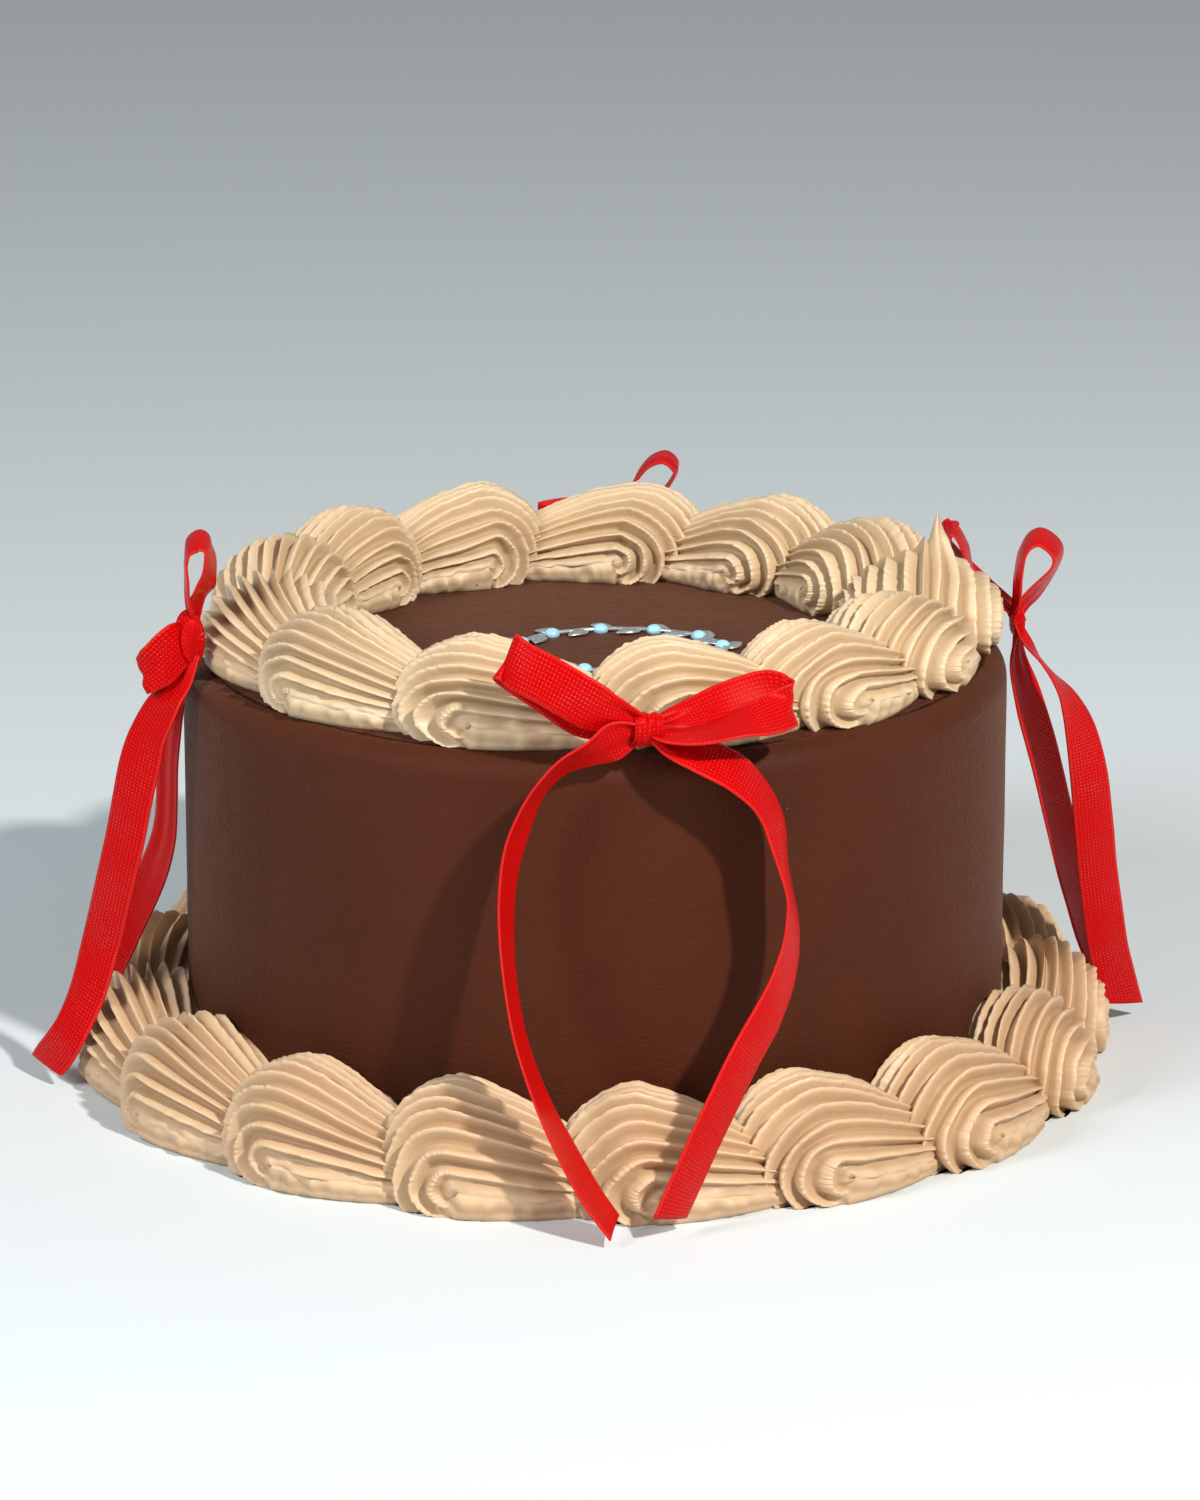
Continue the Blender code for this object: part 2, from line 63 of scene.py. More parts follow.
# Each ring of shells, in metres: its radius, then a shell's half width, the reach and the rise of
# its head, and the height of the line that its ridges run round
TOP_RING = (0.0655, 0.0149, 0.0150, 0.0182, 0.0050)
FOOT_RING = (0.0920, 0.0145, 0.0150, 0.0225, 0.0055)

# Each bow's size is its knot's three half sizes.  Each ribbon point: tangential, radial and
# height position, then the direction of the ribbon's width in the same three axes, then the
# half width where it isn't the whole ribbon's.  Millimetres.
FULL_HALF = 4.75
FRONT_BOW = {
    "azimuth": 6,
    "knot": (0.7, 88.4, 93.7),
    "size": (2.5, 2.6, 3.2),
    "loops": (
        ((-0.9, 88.6, 95.2, 0.08, 0.17, 0.44, 2), (-5.5, 90, 96.9, 0.17, 0.11, 0.57, 3.6),
         (-9.1, 90.5, 98.3, 0.35, 0.06, 0.67), (-13.9, 90.1, 101.3, 0.46, -0.02, 0.76),
         (-18.8, 88.8, 104.1, 0.49, -0.08, 0.81), (-22.9, 86.6, 105.9, 0.37, -0.07, 0.84),
         (-25.4, 83.8, 107.3, 0.3, -0.03, 0.81), (-23.6, 82.3, 104.9, 0.41, -0.05, 0.8),
         (-17.1, 83.3, 100.4, 0.45, -0.04, 0.79), (-10.8, 84.5, 95.7, 0.41, 0.03, 0.71, 4.4),
         (-6.3, 85.8, 94.5, 0.31, 0.05, 0.69, 3), (-0.7, 87.2, 94.7, 0.08, 0.15, 0.48, 2)),
        ((2, 88.8, 92.9, 0.1, -0.98, 0.16, 2), (5.7, 90.8, 92.9, 0.05, -0.99, 0.1, 3.6),
         (11.4, 92.1, 93.7, 0, -0.99, 0.11), (17.5, 91.7, 95.1, -0.08, -0.97, 0.22),
         (22.7, 89.8, 95.8, -0.3, -0.8, 0.5, 4.5), (27.6, 86.3, 96.5, -0.3, -0.45, 0.84, 4),
         (29, 83.6, 97.1, 0, 0.1, 0.97, 3.9), (27.7, 82.2, 97.6, 0.05, -0.3, 0.95, 3.8),
         (24.5, 81.8, 98, -0.05, -0.44, 0.89), (17.5, 83.2, 96.6, -0.1, -0.56, 0.82),
         (11, 84.7, 95.1, -0.1, -0.77, 0.63, 4.2), (6.2, 86, 94.3, -0.02, -0.73, 0.68, 3),
         (2.1, 87.2, 93.8, 0.1, -0.92, 0.38, 2)),
    ),
    "tails": (
        ((-1.1, 88.4, 93.1, -0.12, 0.54, 0.83, 2.7), (-5.4, 89.6, 92.1, -0.41, 0.26, 0.87, 4),
         (-10.2, 90.6, 90.2, -0.37, 0.68, 0.63, 4.4), (-16, 91, 87.5, -0.29, 0.84, 0.45),
         (-21.2, 90.8, 81.4, -0.35, 0.88, 0.32), (-24.5, 90.7, 73.8, -0.45, 0.84, 0.29),
         (-26.3, 91.5, 65.8, -0.41, 0.86, 0.3), (-27, 93.6, 56.4, -0.37, 0.89, 0.26),
         (-26.7, 97.6, 46.4, -0.32, 0.92, 0.21), (-25, 102, 36.7, -0.32, 0.93, 0.19),
         (-21.9, 106.2, 27.1, -0.38, 0.9, 0.21), (-17.5, 109.2, 17.5, -0.45, 0.88, 0.14),
         (-13, 111.6, 9.3, -0.49, 0.86, 0.11), (-8.3, 113.3, 2.6, -0.44, 0.9, 0.06)),
        ((1.6, 88.4, 93, 0.29, -0.94, 0.17, 2), (5.3, 89.8, 91.1, 0.53, -0.76, 0.38, 3.4),
         (11.1, 90.9, 88.8, 0.47, -0.77, 0.44, 4.4), (17.3, 91, 85.6, 0.5, -0.78, 0.36),
         (21.8, 90.4, 81.2, 0.51, -0.85, 0.12), (24.6, 90.1, 76.5, 0.53, -0.84, -0.13),
         (25.9, 90.4, 72.1, 0.47, -0.85, -0.21), (27, 91.1, 66.7, 0.32, -0.91, -0.25),
         (28.1, 92.2, 60.9, 0.26, -0.93, -0.27), (28.3, 93.6, 56, 0.36, -0.91, -0.21),
         (27.7, 95.5, 50.8, 0.48, -0.87, -0.12), (25.7, 98.5, 45.2, 0.61, -0.79, -0.12),
         (22.7, 101.5, 40.2, 0.7, -0.7, -0.18), (19.4, 104.2, 35.5, 0.71, -0.64, -0.29),
         (14.3, 107.7, 27.2, 0.67, -0.6, -0.44), (8.5, 110.9, 16.3, 0.64, -0.6, -0.48),
         (2.6, 113.7, 4.3, 0.63, -0.61, -0.48)),
    ),
}
LEFT_BOW = {
    "azimuth": -74,
    "knot": (0, 84.2, 94.5),
    "size": (3, 2.6, 5.2),
    "loops": (
        ((-0.6, 83.7, 98.1, -0.98, -0.11, -0.19, 2.4),
         (0.7, 84.7, 102.5, -0.96, -0.11, -0.24, 3.4),
         (2.1, 85.2, 107.3, -0.95, -0.16, -0.27, 4.2),
         (2.6, 85.4, 110.9, -0.96, -0.18, -0.23, 4.6), (2.7, 84.8, 113.9, -0.99, -0.13, 0.09),
         (3.3, 82.7, 115.3, -0.95, -0.21, 0.22), (3.9, 80.9, 114.3, -0.95, -0.28, 0.13),
         (4, 80.5, 111.7, -0.92, -0.39, -0.07), (3.4, 80.6, 108.5, -0.86, -0.46, -0.21, 4.6),
         (2.7, 81.4, 105.1, -0.79, -0.55, -0.26, 4.2),
         (0.8, 82.3, 101.9, -0.83, -0.48, -0.27, 3.4),
         (-0.8, 82.6, 97.8, -0.85, -0.46, -0.27, 2.4)),
        ((0.8, 84.6, 94.3, 0.1, 0.6, 0.75, 3.8), (2.6, 87.2, 93.6, 0.1, 0.55, 0.8),
         (2.6, 89.8, 91.3, 0.05, 0.5, 0.85), (2, 92, 89, 0, 0.3, 0.95, 4.4),
         (0.3, 93.9, 87.2, 0, 0.1, 0.99, 3.6), (-1.4, 92.3, 87.9, 0, 0.35, 0.92, 4.3),
         (-1.9, 90, 89.6, 0, 0.5, 0.85, 4.4), (-1.7, 87, 91.4, 0.05, 0.55, 0.8, 3.8),
         (-0.6, 84.5, 93.2, 0.1, 0.6, 0.75, 3)),
    ),
    "tails": (
        ((1, 83.6, 91.5, 0.98, -0.06, 0.18, 2.4), (1.7, 86.6, 86.2, 0.92, -0.36, 0.14, 3.8),
         (2.2, 90.1, 82.1, 0.89, -0.45, 0.01, 4.7), (1.3, 93.4, 75.6, 0.81, -0.58, 0.07),
         (0.8, 95.1, 69.7, 0.71, -0.69, 0.1), (-0.2, 96.8, 61.4, 0.74, -0.67, 0.11),
         (-1.8, 98.7, 50.5, 0.76, -0.64, 0.09), (-3.9, 100.6, 40.5, 0.78, -0.62, 0.08),
         (-6.1, 102.9, 29.3, 0.78, -0.62, 0.06), (-6.4, 105.8, 19.6, 0.81, -0.59, 0.02),
         (-6.6, 110.3, 10.3, 0.86, -0.51, 0), (-10.8, 113.7, 3.6, 0.92, -0.38, 0)),
        ((-1.1, 84.6, 90.8, 0.85, -0.4, -0.33, 2), (-5.3, 86.2, 79.9, 0.85, -0.4, -0.34, 3),
         (-10.4, 86.6, 68.8, 0.85, -0.4, -0.36, 3.5),
         (-14.6, 86.2, 58.1, 0.85, -0.4, -0.36, 3.5), (-18.4, 86.3, 47.5, 0.86, -0.4, -0.3, 3.7),
         (-22.8, 88.6, 37.2, 0.86, -0.43, -0.25, 4.2), (-25.3, 93, 27.1, 0.86, -0.45, -0.2, 4.6),
         (-24.3, 97.4, 19, 0.86, -0.48, -0.15, 4.6)),
    ),
}
RIGHT_BOW = {
    "azimuth": 96,
    "knot": (-0.1, 87, 89.7),
    "size": (2.9, 1.3, 3.4),
    "loops": (
        ((-0.1, 86.7, 91.5, 0.97, -0.07, -0.23, 2.4),
         (-0.1, 86.8, 94.7, 0.96, -0.04, -0.27, 3.4), (-0.1, 86.8, 99, 0.96, 0, -0.27, 4.4),
         (-0.1, 87.5, 103.6, 0.97, 0, -0.23), (-0.3, 89.1, 106.5, 1, 0.06, 0.04),
         (-0.6, 91.5, 107.4, 0.97, 0.19, 0.17), (-0.9, 94.2, 105.7, 0.94, 0.32, 0.13),
         (-1, 95.4, 103.3, 0.93, 0.38, 0.02), (-0.9, 94.4, 100.2, 0.92, 0.34, -0.18, 4.7),
         (-0.5, 90.7, 95.6, 0.83, 0.33, -0.45, 4.2), (-0.3, 88.5, 93.3, 0.81, 0.33, -0.49, 3.4),
         (-0.1, 87, 90.9, 0.79, 0.34, -0.5, 2.4)),
        ((0.9, 87, 90.6, 0.93, 0.33, -0.13, 2.2), (4, 85.4, 91.9, 0.94, 0.32, -0.09, 2.8),
         (7.3, 82.8, 94, 0.95, 0.31, -0.09, 3.4), (8.8, 79.2, 97.8, 0.95, 0.29, -0.13, 4.4),
         (8.9, 77.8, 103, 0.95, 0.3, -0.11, 4.6), (9.2, 75.5, 106.9, 0.99, 0.15, 0.09, 4.6),
         (10.3, 73.9, 105.1, 1, -0.03, -0.07, 4.6), (13, 74.8, 102, 0.95, 0.1, 0.1, 4),
         (12.5, 82.2, 94.8, 0.95, 0.2, 0, 3.4), (5.5, 86.2, 91.3, 0.95, 0.25, 0, 2.6),
         (0.6, 86.9, 89.9, 0.95, 0.25, 0, 2.2)),
    ),
    "tails": (
        ((-0.1, 87, 87.9, 0.9, 0.35, 0.05, 2.4), (0.4, 87.2, 81, 0.78, 0.6, 0.15, 3.4),
         (0.7, 89.4, 73.2, 0.71, 0.67, 0.21, 4.4), (0.9, 91.9, 64.6, 0.7, 0.68, 0.22),
         (1.2, 94.2, 56.3, 0.7, 0.68, 0.22), (1.4, 96.3, 48.2, 0.7, 0.68, 0.22),
         (1.7, 98.3, 40.2, 0.69, 0.67, 0.27), (3, 100.7, 32, 0.68, 0.66, 0.32),
         (5.2, 103.5, 23.5, 0.66, 0.63, 0.42), (7.4, 106.9, 15.1, 0.65, 0.62, 0.44),
         (8.9, 109.6, 9.7, 0.65, 0.62, 0.44)),
        ((-1.1, 86.8, 89, 0.93, 0.36, -0.05, 2.4), (-2.8, 88.4, 86.2, 0.94, 0.34, -0.06, 3.4),
         (-4.4, 90.2, 83.7, 0.96, 0.22, -0.18, 4.4), (-6.1, 92, 81.6, 0.96, 0.17, -0.23),
         (-7.4, 94, 79.2, 0.95, 0.27, -0.17), (-8.2, 96.8, 74.7, 0.84, 0.52, -0.14),
         (-8.4, 99.5, 67.3, 0.64, 0.76, -0.07), (-8.1, 101.4, 57.7, 0.47, 0.88, -0.09),
         (-6.8, 102.8, 47.5, 0.43, 0.9, -0.1), (-4.9, 104.2, 37.2, 0.43, 0.9, -0.1),
         (-3.1, 105.9, 27.5, 0.42, 0.9, -0.08), (-0.3, 108, 17.4, 0.46, 0.89, -0.04),
         (2.5, 110.3, 10, 0.49, 0.87, -0.03), (4.3, 112.1, 4.6, 0.52, 0.85, -0.06)),
    ),
}
BACK_BOW = {
    "azimuth": 174,
    "knot": (0, 87, 93),
    "size": (2.7, 2.3, 3.1),
    "loops": (
        ((0.6, 87, 94.6, 0, 1, 0, 2.4), (0.9, 87.2, 98.6, 0, 1, 0, 3.6),
         (0.2, 88, 101.4, 0, 1, 0.1, 4.2), (-2.5, 88, 104.8, 0, 1, 0.1, 4.2),
         (-6, 88, 106, 0, 1, 0.1, 4.2), (-8.6, 88, 103.6, 0, 1, 0.1, 4.2),
         (-7.2, 88, 100, 0, 1, 0, 4.2), (-4.2, 87.2, 96.6, 0, 1, 0, 3.6),
         (-1, 87, 93.8, 0, 1, 0, 2.4)),
        ((1, 88, 93, -0.2, 0, 0.97, 2.4), (7, 90, 91.8, 0, 0, 1, 4), (15, 91.2, 90.8, 0, 0, 1),
         (21, 89.4, 90.2, 0, 0, 1), (21, 86.6, 90.4, 0, 0, 1), (14, 85.8, 91.2, 0, 0, 1),
         (6.5, 85.6, 92.2, 0, 0, 1, 3.8), (0.8, 86.2, 93.2, 0, 0, 1, 2.4)),
    ),
    "tails": (
        ((-0.5, 87.4, 92.4, -0.4, 0.1, 0.9, 2.4), (-7, 90, 89, -0.45, 0.3, 0.8, 4),
         (-14, 92.4, 81, -0.6, 0.6, 0.3), (-17, 94.6, 68, -0.5, 0.85, 0),
         (-17, 97.4, 52, -0.5, 0.85, 0.1), (-13.5, 102, 38, -0.5, 0.8, 0.2),
         (-8.5, 108.4, 22, -0.5, 0.8, 0.2), (-4, 113.4, 4, -0.5, 0.8, 0.2)),
        ((0.5, 87.4, 92.4, 0.4, 0.1, 0.9, 2.4), (7, 90, 89, 0.45, 0.3, 0.8, 4),
         (15, 92.4, 82, 0.6, 0.6, 0.3), (19, 94.6, 69, 0.5, 0.85, 0),
         (20, 97.4, 53, 0.5, 0.85, 0.1), (18, 102, 38, 0.5, 0.8, 0.2),
         (15, 108.4, 22, 0.5, 0.8, 0.2), (12, 113.4, 4, 0.5, 0.8, 0.2)),
    ),
}


# ---- sizes and colours

def length(name, description, default):
    return bpy.props.FloatProperty(name=name, description=description, default=default,
                                   min=0.0, unit="LENGTH", subtype="DISTANCE", precision=5)


def colour(name, description, default):
    return bpy.props.FloatVectorProperty(name=name, description=description, default=default,
                                         size=3, min=0.0, max=1.0, subtype="COLOR")


def factor(name, description, default, top=1.0):
    return bpy.props.FloatProperty(name=name, description=description, default=default,
                                   min=0.0, max=top, subtype="FACTOR")


def power(name, description, default):
    return bpy.props.FloatProperty(name=name, description=description, default=default,
                                   min=0.0, unit="POWER")


def number(name, description, default, low=1, high=400):
    return bpy.props.IntProperty(name=name, description=description, default=default,
                                 min=low, max=high)


class IcingSettings(bpy.types.PropertyGroup):
    radius: length("Radius", "Radius of the iced cake", CAKE_HIGH.x)
    height: length("Height", "Height of the iced cake", TOP)
    edge: length("Edge", "Radius of the rounded upper edge", 0.005)
    wobble: length("Wobble", "How far the smoothed icing strays from a true cylinder", 0.00022)
    colour: colour("Colour", "Chocolate icing", (0.058, 0.0128, 0.0044))
    roughness: factor("Roughness", "Dullness of the icing", 0.58)


class ShellSettings(bpy.types.PropertyGroup):
    crests: number("Crests", "Ridges that the star nozzle leaves across one shell", 14, 4, 30)
    head_rows: number("Head rows", "Mesh rows round the bulging head", 116, 16, 200)
    tail_rows: number("Tail rows", "Mesh rows along the tail", 34, 6, 100)
    ridge: factor("Ridge depth", "Depth of the ridges as a share of the shell's radius", 0.115, 0.3)
    serration: length("Serration", "Fine raggedness of the ridge edges", 0.00048)
    drift: length("Drift", "Slow unevenness of the whole shell", 0.0005)
    overhang: factor("Overhang", "How far each ridge leans down over the furrow below it", 1.75, 4.0)
    skirt: length("Skirt", "Raggedness of the shell's lower edge", 0.0011)
    nucleus: length("Fold", "How far the fold at the shell's ends is pushed along the border", 0.0035)
    colour: colour("Colour", "Buttercream", (0.635, 0.47, 0.29))
    foot_colour: colour("Foot colour", "Buttercream of the foot border", (0.605, 0.41, 0.242))
    roughness: factor("Roughness", "Dullness of the buttercream", 0.46)


class RibbonSettings(bpy.types.PropertyGroup):
    thickness: length("Thickness", "Thickness of the ribbon", 0.0004)
    half_width: length("Half width", "Half the ribbon's flat width", 0.00475)
    weave: length("Weave", "Spacing of the woven dots", 0.00150)
    colour: colour("Colour", "Red satin", (0.52, 0.0015, 0.002))
    roughness: factor("Roughness", "Dullness of the satin", 0.34)


class WreathSettings(bpy.types.PropertyGroup):
    leaves: number("Leaves", "Leaves on each side of the stem", 12, 4, 40)
    leaf: length("Leaf", "Length of a leaf", 0.0061)
    thickness: length("Thickness", "Height of the leaves over the icing", 0.0011)
    silver: colour("Silver", "Silver leaves", (0.62, 0.66, 0.68))
    blue: colour("Blue", "Pale blue buds", (0.36, 0.66, 0.80))


class StageSettings(bpy.types.PropertyGroup):
    floor: colour("Floor", "Plain pale floor", (0.70, 0.75, 0.76))
    key_power: power("Key", "Power of the key light", 22.0)
    fill_power: power("Fill", "Power of the fill light", 16.5)
    sky: factor("Sky", "Strength of the even light from all round", 0.28, 4.0)


# ---- helpers

def start_clean():
    """Object mode with nothing selected, so that an operator acts on the new piece alone."""
    if bpy.context.object and bpy.context.object.mode != "OBJECT":
        bpy.ops.object.mode_set(mode="OBJECT")
    bpy.ops.object.select_all(action="DESELECT")


def shaped_grid(points):
    """A grid primitive whose corners are then moved to the given rows of points."""
    rows, columns = points.shape[:2]
    start_clean()
    bpy.ops.mesh.primitive_grid_add(x_subdivisions=columns - 1, y_subdivisions=rows - 1, size=2.0)
    piece = bpy.context.object
    flat = np.empty(rows * columns * 3)
    piece.data.vertices.foreach_get("co", flat)
    flat = flat.reshape(-1, 3)
    column = np.rint((flat[:, 0] + 1.0) / 2.0 * (columns - 1)).astype(int)
    row = np.rint((flat[:, 1] + 1.0) / 2.0 * (rows - 1)).astype(int)
    piece.data.vertices.foreach_set("co", points[row, column].ravel())
    piece.data.update()
    return piece, row, column


def give_attribute(piece, name, values):
    """A named value at each vertex, which a material can read."""
    attribute = piece.data.attributes.new(name, "FLOAT", "POINT")
    attribute.data.foreach_set("value", np.asarray(values, np.float32))


def select_only(piece):
    start_clean()
    piece.select_set(True)
    bpy.context.view_layer.objects.active = piece


def close_seams(piece, distance=2e-6):
    """Merge the rows that meet and turn all faces outwards."""
    select_only(piece)
    bpy.ops.object.mode_set(mode="EDIT")
    bpy.ops.mesh.select_all(action="SELECT")
    bpy.ops.mesh.remove_doubles(threshold=distance)
    bpy.ops.mesh.normals_make_consistent(inside=False)
    bpy.ops.object.mode_set(mode="OBJECT")


def thicken(piece, thickness, offset):
    """Turn a sheet into a closed solid of the given thickness."""
    modifier = piece.modifiers.new("Solidify", "SOLIDIFY")
    modifier.thickness = thickness
    modifier.offset = offset
    select_only(piece)
    bpy.ops.object.modifier_apply(modifier=modifier.name)


def lay_uv(piece, across, along):
    """Write each vertex's place on the flat ribbon, in metres, into the piece's own UV map."""
    piece.data.uv_layers[0].name = "UVMap"
    corner = np.empty(len(piece.data.loops), int)
    piece.data.loops.foreach_get("vertex_index", corner)
    flat = np.stack([across[corner], along[corner]], -1)
    piece.data.uv_layers["UVMap"].uv.foreach_set("vector", flat.ravel().astype(np.float32))


def join(pieces):
    select_only(pieces[0])
    for piece in pieces:
        piece.select_set(True)
    bpy.ops.object.join()
    return bpy.context.view_layer.objects.active


def dress(piece, name, material, slot, *nodes):
    """Name a finished piece, give it its material and put it in place of its CAD nodes."""
    piece.name = name
    piece.data.name = name
    piece.data.materials.clear()
    piece.data.materials.append(material)
    select_only(piece)
    bpy.ops.object.shade_smooth()
    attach(piece, "root")
    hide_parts(*nodes)


def rough(values, scale, seed):
    """Smooth noise between -1 and 1 at each of the given points."""
    shape = values.shape[:-1]
    shift = Vector((seed * 7.31, seed * 3.77, seed * 1.93))
    flat = values.reshape(-1, 3) * scale
    return np.array([noise.noise(Vector(p) + shift) for p in flat]).reshape(shape)


# ---- materials

WHITE, BLACK = (1.0,) * 3, (0.0,) * 3


class Nodes:
    """Adds and links the nodes of one material."""

    def __init__(self, name, base, roughness):
        self.material = bpy.data.materials.new(name)
        self.material.use_nodes = True
        self.tree = self.material.node_tree
        self.shader = self.tree.nodes["Principled BSDF"]
        self.coordinates = self.tree.nodes.new("ShaderNodeTexCoord")
        self.shade({"Base Color": base, "Roughness": roughness})

    def put(self, socket, value):
        """Link an output to the socket, or set the socket's own number or colour."""
        if isinstance(value, bpy.types.NodeSocket):
            self.tree.links.new(value, socket)
        else:
            socket.default_value = (*value, 1.0) if socket.type == "RGBA" else value

    def shade(self, values):
        """Link or set sockets of the shader itself."""
        for key, value in values.items():
            self.put(self.shader.inputs[key], value)

    def add(self, kind, inputs, **settings):
        node = self.tree.nodes.new(kind)
        for key, value in settings.items():
            setattr(node, key, value)
        for key, value in inputs.items():
            self.put(node.inputs[key], value)
        return node

    def noise(self, place, scale, detail, roughness=0.5):
        inputs = {"Vector": place, "Scale": scale, "Detail": detail, "Roughness": roughness}
        return self.add("ShaderNodeTexNoise", inputs).outputs["Fac"]

    def cells(self, place, scale):
        inputs = {"Vector": place, "Scale": scale}
        return self.add("ShaderNodeTexVoronoi", inputs, feature="F1").outputs

    def ramp(self, source, stops):
        """Colours (or greys, as triples) between the stops' positions."""
        node = self.add("ShaderNodeValToRGB", {"Fac": source})
        elements = node.color_ramp.elements
        while len(elements) > 1:
            elements.remove(elements[-1])
        elements[0].position = stops[0][0]
        elements[0].color = (*stops[0][1], 1.0)
        for position, rgb in stops[1:]:
            elements.new(position).color = (*rgb, 1.0)
        return node.outputs["Color"]

    def mix(self, amount, a, b, blend="MIX"):
        inputs = {0: amount, 6: a, 7: b}
        return self.add("ShaderNodeMix", inputs, data_type="RGBA", blend_type=blend).outputs[2]

    def maths(self, operation, a, b=0.0):
        return self.add("ShaderNodeMath", {0: a, 1: b}, operation=operation).outputs[0]

    def bump(self, height, strength, distance, below=None):
        inputs = {"Height": height, "Strength": strength, "Distance": distance}
        if below:
            inputs["Normal"] = below
        return self.add("ShaderNodeBump", inputs).outputs["Normal"]


def tint(rgb, gain, shift=WHITE):
    return tuple(min(1.0, max(0.0, c * gain * s)) for c, s in zip(rgb, shift))


def chocolate_material(settings):
    """Matte smoothed icing: fine grain, faint spatula streaks and a few pale sugar specks."""
    base, roughness = tuple(settings.colour), settings.roughness
    m = Nodes("chocolate_icing_smooth", base, roughness)
    place = m.coordinates.outputs["Object"]
    cloud = m.noise(place, 38.0, 4.0, 0.55)
    long = m.add("ShaderNodeMapping", {"Vector": place, "Scale": (60.0, 60.0, 420.0)})
    streak = m.noise(long.outputs[0], 1.0, 3.0)
    grain = m.noise(place, 1500.0, 2.0, 0.6)
    fine = m.noise(place, 620.0, 3.0, 0.6)
    specks = m.cells(place, 240.0)
    dots = m.ramp(specks["Distance"], ((0.0, WHITE), (0.055, BLACK)))
    pick = m.ramp(specks["Color"], ((0.0, BLACK), (0.86, BLACK), (0.9, WHITE)))
    sparse = m.maths("MULTIPLY", dots, pick)
    tone = m.ramp(cloud, ((0.3, tint(base, 0.86)), (0.7, tint(base, 1.14, (1.0, 1.02, 1.04)))))
    tone = m.mix(m.maths("MULTIPLY", grain, 0.45), tone, tint(base, 1.5, (1.0, 1.05, 1.1)))
    tone = m.mix(m.maths("MULTIPLY", sparse, 0.6), tone, (0.33, 0.26, 0.22))
    normal = m.bump(cloud, 0.35, 0.0012)
    normal = m.bump(streak, 0.22, 0.0004, normal)
    normal = m.bump(fine, 0.35, 0.00022, normal)
    normal = m.bump(grain, 0.85, 0.00026, normal)
    gloss = m.ramp(fine, ((0.3, (roughness - 0.06,) * 3), (0.7, (roughness + 0.08,) * 3)))
    m.shade({"Base Color": tone, "Normal": normal, "Roughness": gloss,
             "Specular IOR Level": 0.11, "Sheen Weight": 0.24, "Sheen Roughness": 0.35,
             "Sheen Tint": (1.0, 0.60, 0.42)})
    return m.material


def buttercream_material(name, base, roughness):
    """Whipped cream icing: paler crests as painted highlight, darker and warmer furrows as painted
    shade, pores darkened with painted shade, and a slight moist gloss.
    """
    m = Nodes(name, base, roughness)
    place = m.coordinates.outputs["Object"]
    crest = m.add("ShaderNodeAttribute", {}, attribute_name="crest", attribute_type="GEOMETRY")
    cloud = m.noise(place, 60.0, 3.0)
    grain = m.noise(place, 900.0, 3.0, 0.6)
    lumps = m.noise(place, 330.0, 2.0)
    pores = m.cells(place, 330.0)
    hole = m.ramp(pores["Distance"], ((0.0, WHITE), (0.10, WHITE), (0.17, BLACK)))
    pick = m.ramp(pores["Color"], ((0.0, BLACK), (0.88, BLACK), (0.91, WHITE)))
    hole = m.maths("MULTIPLY", hole, pick)
    # Painted shade and painted highlight: the crest value runs from 0 in a furrow to 1 on a ridge, so
    # furrows are painted darker and warmer and crests paler.
    body = m.ramp(crest.outputs["Fac"], ((0.0, tint(base, 0.80, (1.0, 0.94, 0.86))), (0.55, base),
                                         (1.0, tint(base, 1.10, (1.0, 1.01, 1.03)))))
    body = m.mix(0.5, body, m.ramp(cloud, ((0.3, (0.90, 0.89, 0.88)), (0.7, WHITE))), "MULTIPLY")
    # Painted shade in the pores: the sparse pore holes are painted down to 0.42 of the cream's colour,
    # and the same holes are also dented by the bump below.
    body = m.mix(m.maths("MULTIPLY", hole, 0.55), body, tint(base, 0.42))
    normal = m.bump(lumps, 0.35, 0.0004)
    normal = m.bump(grain, 0.4, 0.00012, normal)
    normal = m.bump(m.maths("SUBTRACT", 1.0, hole), 0.5, 0.0003, normal)
    gloss = m.ramp(grain, ((0.3, (roughness - 0.08,) * 3), (0.7, (roughness + 0.08,) * 3)))
    m.shade({"Base Color": body, "Normal": normal, "Roughness": gloss,
             "Specular IOR Level": 0.45, "Subsurface Weight": 0.16,
             "Subsurface Radius": (1.0, 0.62, 0.34), "Subsurface Scale": 0.0022})
    return m.material


